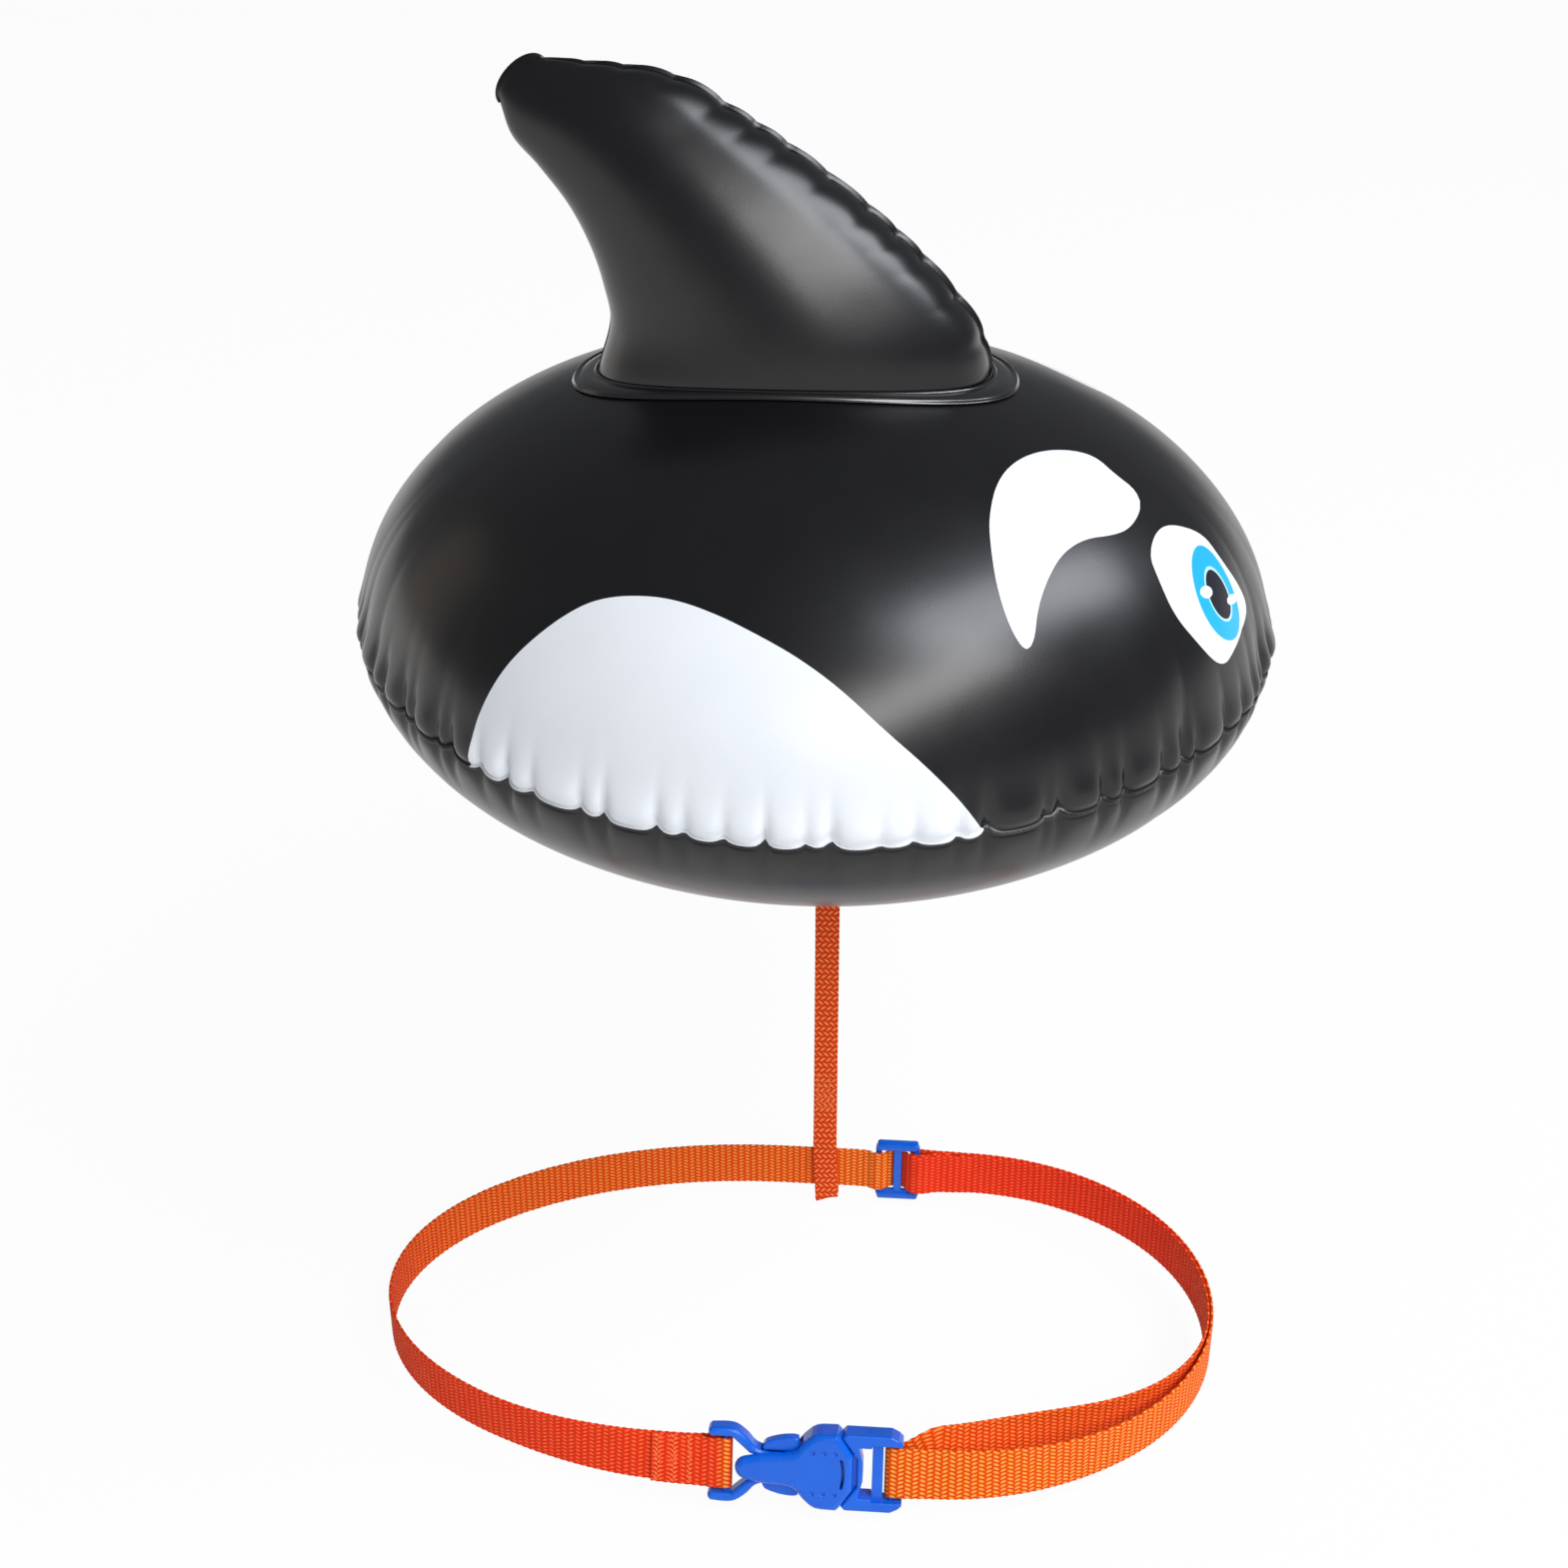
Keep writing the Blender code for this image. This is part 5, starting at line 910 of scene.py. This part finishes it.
lower_tack = BELT_Z + HALF_WEBBING + LOOP_TAIL - TACK_ROWS * TACK_PITCH
tack("tether_tack_loop_near", lower_tack, -1)
tack("tether_tack_loop_far", lower_tack, 1)
tack("tether_tack_top", BRIDGE_Z - TOP_TAIL + PLY * 3, 1)

# %% [markdown]
# ## Belt
# One length of 25 mm webbing on the real belt. Seen from above it is a flattened oval: straight along the
# back and the front, an ellipse's quarter at each corner. A place on it is a running length from the buckle,
# a step outwards and a rise. The left half is one ply, sewn round the socket's bar. The right half is two,
# which pass through the tri-glide and round the plug's bar.

# %% Belt line
BELT_LEFT = -0.205
BELT_RIGHT = 0.208
BELT_DEPTH = 0.222
LEFT_END_Y = -0.118
RIGHT_END_Y = -0.108
PLY_GAP = 0.0003
BELT_TRAVEL = 0.009
STRAIGHT_MARGIN = 0.007
BUCKLE_X = 0.01275
BUCKLE_Y = -BELT_DEPTH
SOCKET_BAR = 0.0371
PLUG_BAR = 0.0405
BUCKLE_END = 0.0455
BUCKLE_LEAN = 18
LEAN_FADE = 0.11
GLIDE_X = 0.048
HALF_GLIDE = 0.012
GLIDE_TRAVEL_RIGHT = 0.018
BACK_LEFT = TETHER_X - TETHER_WIDTH / 2 - BELT_TRAVEL - STRAIGHT_MARGIN
BACK_RIGHT = GLIDE_X + HALF_GLIDE + GLIDE_TRAVEL_RIGHT + STRAIGHT_MARGIN
FRONT_LEFT = BUCKLE_X - BUCKLE_END - STRAIGHT_MARGIN
FRONT_RIGHT = BUCKLE_X + BUCKLE_END + 2 * STRAIGHT_MARGIN
LOOP_STEPS = 400

# The belt's plan line from the buckle's middle, left, round the back and home
quarters = [
    (FRONT_LEFT, LEFT_END_Y, FRONT_LEFT - BELT_LEFT, BELT_DEPTH + LEFT_END_Y, 270),
    (BACK_LEFT, LEFT_END_Y, BACK_LEFT - BELT_LEFT, -LEFT_END_Y, 180),
    (BACK_RIGHT, RIGHT_END_Y, BELT_RIGHT - BACK_RIGHT, -RIGHT_END_Y, 90),
    (FRONT_RIGHT, RIGHT_END_Y, BELT_RIGHT - FRONT_RIGHT, BELT_DEPTH + RIGHT_END_Y, 360),
]
buckle = [(BUCKLE_X, BUCKLE_Y)]
corners = [arc((x, y), (a, b), turn, turn - 90, LOOP_STEPS) for x, y, a, b, turn in quarters]
LOOP = np.concatenate([buckle, corners[0], corners[1][1:], corners[2], corners[3][1:], buckle])
REACH = running(LOOP)
ROUND = REACH[-1]
BACK_START = REACH[1 + 2 * LOOP_STEPS]
print("belt is", round(ROUND, 3), "m round")


def back_reach(x):
    """Running length at a place on the belt's straight back."""
    return BACK_START + x - BACK_LEFT


def on_belt(stations):
    """World points for rows of running length, outward step and rise, each with the direction of the width.

    The webbing leans back as the buckle does, then less and less away from it.
    """
    reach, out, up = np.array(stations).T
    x, y = [np.interp(reach, REACH, LOOP[:, k]) for k in (0, 1)]
    ahead, behind = np.minimum(reach + PLY, ROUND), np.maximum(reach - PLY, 0)
    along = [np.interp(ahead, REACH, LOOP[:, k]) - np.interp(behind, REACH, LOOP[:, k]) for k in (0, 1)]
    level = unit(np.stack([-along[1], along[0], 0 * x], axis=1))
    beside = np.clip((np.minimum(reach, ROUND - reach) - BUCKLE_END) / LEAN_FADE, 0, 1)
    lean = (math.radians(BUCKLE_LEAN) * (1 - beside**2 * (3 - 2 * beside)))[:, None]
    above = np.array([0, 0, 1])
    outwards = level * np.cos(lean) + above * np.sin(lean)
    upwards = above * np.cos(lean) - level * np.sin(lean)
    middle = np.stack([x, y, BELT_Z + 0 * x], axis=1)
    return np.concatenate([middle + outwards * out[:, None] + upwards * up[:, None], upwards], axis=1)


# %% Belt straps
BAR_RADIUS = 0.0016
SEWN_TAIL = 0.019
SEWN_RUN_OUT = 0.016
PLY_OFFSET = (PLY + PLY_GAP + GAP / 2) / 2
FOLD_RADIUS = BAR_RADIUS + PLY_GAP + PLY / 2
FOLD_STEPS = 8
STATION_FILL = 12
# The two halves of the belt meet beside the tether
MEET_X = TETHER_X + TETHER_WIDTH / 2 + 4 * TETHER_SLACK
MEET = back_reach(MEET_X)
# Painted light by the place in Y, as a share from red to yellow orange: of the left half, of the right half's
# inner ply and of its outer ply
LEFT_PAINTED_LIGHT = ((-0.2, -0.14, -0.06, 0), (0.1, 0.15, 0.7, 0.8))
INNER_PAINTED_LIGHT = ((-0.22, -0.14, -0.05), (0.7, 0.4, 0))
OUTER_PAINTED_LIGHT = ((-0.22, -0.1, -0.05), (1, 0.8, 0.1))
# A painted highlight at the sewn fold of the left half
FOLD_HIGHLIGHT = 1.2


def dense(stations, rounds=3):
    """Stations of length, step and often rise, rounded, filled in along the curve and evenly spaced."""
    smooth = rounded([(*station, 0)[:3] for station in stations], rounds)
    spans = [np.linspace(a, b, STATION_FILL, endpoint=False) for a, b in zip(smooth, smooth[1:])]
    line = on_belt(np.concatenate([*spans, smooth[-1:]]))
    return evenly(line, round(running(line)[-1] / WEBBING_STEP))


def belt_painted_light(node, line):
    """Painted light along a strap: orange at the back left, redder in front, and a highlight at its sewn
    fold.
    """
    x, y = line[:, 0], line[:, 1]
    if node == "belt_webbing":
        # Painted highlight: the strap is made brighter just at its fold round the socket's bar
        fold_highlight_mask = np.exp(-np.abs(x - BUCKLE_X + SOCKET_BAR) / BAR_RADIUS) * (y < LEFT_PAINTED_LIGHT[0][0])
        return np.interp(y, *LEFT_PAINTED_LIGHT) + FOLD_HIGHLIGHT * fold_highlight_mask
    if node == "adjuster_webbing_inner":
        return np.where(x < GLIDE_X, 1, np.interp(y, *INNER_PAINTED_LIGHT))
    return np.interp(y, *OUTER_PAINTED_LIGHT)


def belt_piece(name, line, keep, body, node, blend=None):
    """The part of a strap's line where keep is true, as its own piece."""
    chosen = np.flatnonzero(keep)
    # One more point at its end, so that the next piece meets this one
    chosen = np.arange(chosen[0], min(chosen[-1] + 2, len(line)))
    part, start = line[chosen], running(line)[chosen[0]]
    made = strap(
        name, part[:, :3], part[:, 3:], WEBBING_WIDTH, ORANGE_BELT, body, start,
        blend=blend, painted_light=belt_painted_light(node, part),
    )
    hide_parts(node)


near, run = SOCKET_BAR + PLY * 4, SOCKET_BAR + SEWN_RUN_OUT
tail_end = SOCKET_BAR + SEWN_TAIL + SEWN_RUN_OUT
main = [(tail_end, PLY_OFFSET), (run, PLY_OFFSET), (near, FOLD_RADIUS - PLY_GAP)]
main += [(SOCKET_BAR - x, out) for x, out in arc((0, 0), (FOLD_RADIUS, FOLD_RADIUS), 90, -90, FOLD_STEPS)]
main += [(near, -FOLD_RADIUS + PLY_GAP), (run, -PLY_OFFSET), (tail_end, -PLY_OFFSET)]
main += [(tail_end + SEWN_RUN_OUT, 0), (MEET, 0)]
main_line = dense(main)
belt_piece("belt_left", main_line, np.ones(len(main_line), bool), "belt", "belt_webbing")

# %% Sewn end of the belt
# Zigzag seams across the belt hold its folded end
SEAM_COUNT = 4
SEAM_START = SOCKET_BAR + SEWN_RUN_OUT * 0.6
SEAM_MARGIN = 0.003
SEAM_REACH = 9
SEAM_STEP = HALF_WEBBING / 10

face_out = PLY_OFFSET + PLY / 2
lengths = np.linspace(SEAM_START, tail_end - SEAM_MARGIN, SEAM_COUNT)
seams = [(r, w) for r in lengths for w in np.arange(-SEAM_REACH, SEAM_REACH + 1)]
at_face = on_belt([(r, face_out, w * SEAM_STEP) for r, w in seams])[:, :3]
zigzag = [(r + STITCH_LENGTH * (0.5 if w % 2 else -0.5), face_out, (w + 1) * SEAM_STEP) for r, w in seams]
ahead = on_belt(zigzag)[:, :3]
over = on_belt([(r, face_out + STITCH_LENGTH, w * SEAM_STEP) for r, w in seams])[:, :3]
sewn("belt_sewn_end", (at_face + ahead) / 2, ahead - at_face, over - at_face, "belt")

# %% Two plies of the right half
GLIDE_BAR_WIDTH = 0.0034
GLIDE_CENTRE_BAR_WIDTH = 0.0046
WEAVE_DEPTH = 0.0025
WEAVE_LEAD = 0.0005
WRAP_LENGTH = 0.0031
WRAP_DEPTH = 0.0026
WRAP_TAIL = 0.022
INNER_PLY_BULGE = 0.0175
INNER_PLY_RISE = 0.0085
BULGE_POWER = 1.7
RISE_END_SHARE = 0.07
BULGE_STATIONS = 60

plug_bar = ROUND - PLUG_BAR
glide = back_reach(GLIDE_X)
half_bar, half_slot = GLIDE_CENTRE_BAR_WIDTH / 2, HALF_GLIDE - GLIDE_BAR_WIDTH
three_ply = PLY + PLY_GAP + GAP / 2
front_of_wrap = WRAP_DEPTH + PLY + PLY_GAP + GAP
wrap_middle = HALF_GLIDE - GLIDE_BAR_WIDTH / 2
# These three are lengths past the tri-glide's middle
free_end = WRAP_TAIL + HALF_GLIDE / 2
past_end = free_end + PLY
settled = past_end + HALF_GLIDE
fold_start = plug_bar - 5 * PLY
bulge_start = (back_reach(BACK_RIGHT) + plug_bar) / 2

# Through the tri-glide: under its left bar, over the middle one and under the wrap at its right bar
woven_through = [
    (-HALF_GLIDE - 3 * PLY, 0), (-HALF_GLIDE - PLY, -WEAVE_DEPTH),
    (WEAVE_LEAD - half_slot, -WEAVE_DEPTH), (-half_bar - WEAVE_LEAD, WEAVE_DEPTH),
    (half_bar + WEAVE_LEAD, WEAVE_DEPTH), (half_slot - 2 * WEAVE_LEAD, -front_of_wrap),
    (HALF_GLIDE + PLY, -front_of_wrap), (WRAP_TAIL, -three_ply), (past_end, -three_ply),
    (settled, -PLY_OFFSET),
]
inner = [(MEET, 0)] + [(glide + past, out) for past, out in woven_through]
for at in np.linspace(glide + settled, fold_start, BULGE_STATIONS)[1:-1]:
    share = max(0, (at - bulge_start) / (fold_start - bulge_start))
    swell = math.sin(math.pi * share**BULGE_POWER)
    at_end = math.sin(math.pi / 2 * min(1, (1 - share) / RISE_END_SHARE)) ** 2
    inner.append((at, -PLY_OFFSET - INNER_PLY_BULGE * swell, INNER_PLY_RISE * share**2 * at_end))
inner += [(fold_start, -FOLD_RADIUS), (plug_bar, -FOLD_RADIUS)]
inner_line = dense(inner, rounds=2)

# Back from the plug's bar, round the tri-glide's right bar and in between the plies
outer = [*arc((plug_bar, 0), (FOLD_RADIUS, FOLD_RADIUS), -80, 90, FOLD_STEPS)]
outer += [(fold_start, FOLD_RADIUS), (fold_start - SEWN_RUN_OUT, PLY_OFFSET)]
wrapped = [(settled, PLY_OFFSET), (past_end, three_ply), (WRAP_TAIL, three_ply)]
wrapped += [(wrap_middle + 2 * PLY, WRAP_DEPTH)]
wrapped += [*arc((wrap_middle, 0), (WRAP_LENGTH, WRAP_DEPTH), 90, 270, FOLD_STEPS)]
wrapped += [(wrap_middle + 2 * PLY, -WRAP_DEPTH), (WRAP_TAIL - PLY, 0), (free_end, 0)]
outer += [(glide + past, out) for past, out in wrapped]
outer_line = dense(outer, rounds=2)

# %% [markdown]
# The right half bends when the plug pulls out and when the tri-glide slides. So each ply is cut where one
# body takes over from the next: the stretch through the tri-glide rides on it, and the stretches beside it
# (listed with the tri-glide and the belt) and the long stretch round the side (listed with the belt and the
# plug) are only baked in place, and ride on no body.

# %% Right half, cut where its bodies change
LEAD_IN = GLIDE_X - HALF_GLIDE - 2 * PLY
LEAD_OUT = GLIDE_X + settled
HAND_OVER_LENGTH = 0.07
HAND_OVER = LEAD_OUT + HAND_OVER_LENGTH


def right_half(name, line, node):
    x = line[:, 0]
    on_back = line[:, 1] > RIGHT_END_Y / 2
    zone = np.where(on_back, np.digitize(x, (LEAD_IN, LEAD_OUT, HAND_OVER)), 3)
    parts = [
        ("lead", ("belt", "tri_glide"), (MEET_X, LEAD_IN)),
        ("at_glide", "tri_glide", None),
        ("beside_glide", ("tri_glide", "belt"), (LEAD_OUT, HAND_OVER)),
    ]
    for k, (part, body, ends) in enumerate(parts):
        if (zone == k).any():
            blend = ends and [(end, 0, BELT_Z) for end in ends]
            belt_piece(f"{name}_{part}", line, zone == k, body, node, blend)
    start_y = line[(zone == 3) & on_back][:, 1].min()
    ends = ((0, start_y, BELT_Z), (0, BUCKLE_Y + HALF_WEBBING, BELT_Z))
    belt_piece(f"{name}_side", line, zone == 3, ("belt", "buckle_plug"), node, ends)


right_half("belt_inner_ply", inner_line, "adjuster_webbing_inner")
right_half("belt_outer_ply", outer_line, "adjuster_webbing_outer")

# %% [markdown]
# ## Buckle and tri-glide
# Injection moulded acetal: tough plastic in one solid colour. It leaves the mould satin, with a very fine
# spark-eroded texture and slightly rounded edges. The CAD solids have the right shape, so they only get the
# finish.

# %% Moulded plastic
EDGE_RADIUS = 0.0006
ACETAL_GRAIN = 1400
SOFT_PVC_GRAIN = 900


def moulded(name, light, dark, grain_scale, ior):
    def build(tree, shader):
        place = add(tree, "TexCoord", output="Object")
        flow = add(tree, "TexNoise", {"Vector": place, "Scale": 45, "Detail": 3})
        grain = add(tree, "TexNoise", {"Vector": place, "Scale": grain_scale, "Detail": 2})
        gloss = {"Value": flow, "From Min": 0.3, "From Max": 0.7, "To Min": 0.24, "To Max": 0.34}
        # Mould edges are never sharp: their shading turns over half a millimetre
        soft = add(tree, "Bevel", {"Radius": EDGE_RADIUS}, samples=6)
        texture = {"Strength": 0.2, "Distance": 0.00006, "Height": grain, "Normal": soft}
        return {
            "Base Color": add(tree, "Mix", {0: flow, 6: dark, 7: light}, 2, data_type="RGBA"),
            "Roughness": add(tree, "MapRange", gloss),
            "Normal": add(tree, "Bump", texture),
        }

    return material(name, build, IOR=ior)


BLUE_ACETAL = moulded("moulded_blue_acetal", "#066CE8", "#0058D0", ACETAL_GRAIN, 1.48)
BLACK_MOULDING = moulded("moulded_soft_black_pvc", "#1C1C1F", "#131315", SOFT_PVC_GRAIN, 1.53)
BLUE_NODES = ("buckle_socket", "buckle_plug", "plug_prong_upper", "plug_prong_lower", "tri_glide")
BLACK_NODES = ("valve_flange", "valve_stem", "valve_plug", "valve_flap", "tether_anchor_patch")
for nodes, finish in ((BLUE_NODES, BLUE_ACETAL), (BLACK_NODES, BLACK_MOULDING)):
    for node in nodes:
        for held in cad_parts[node].material_slots:
            held.material = finish
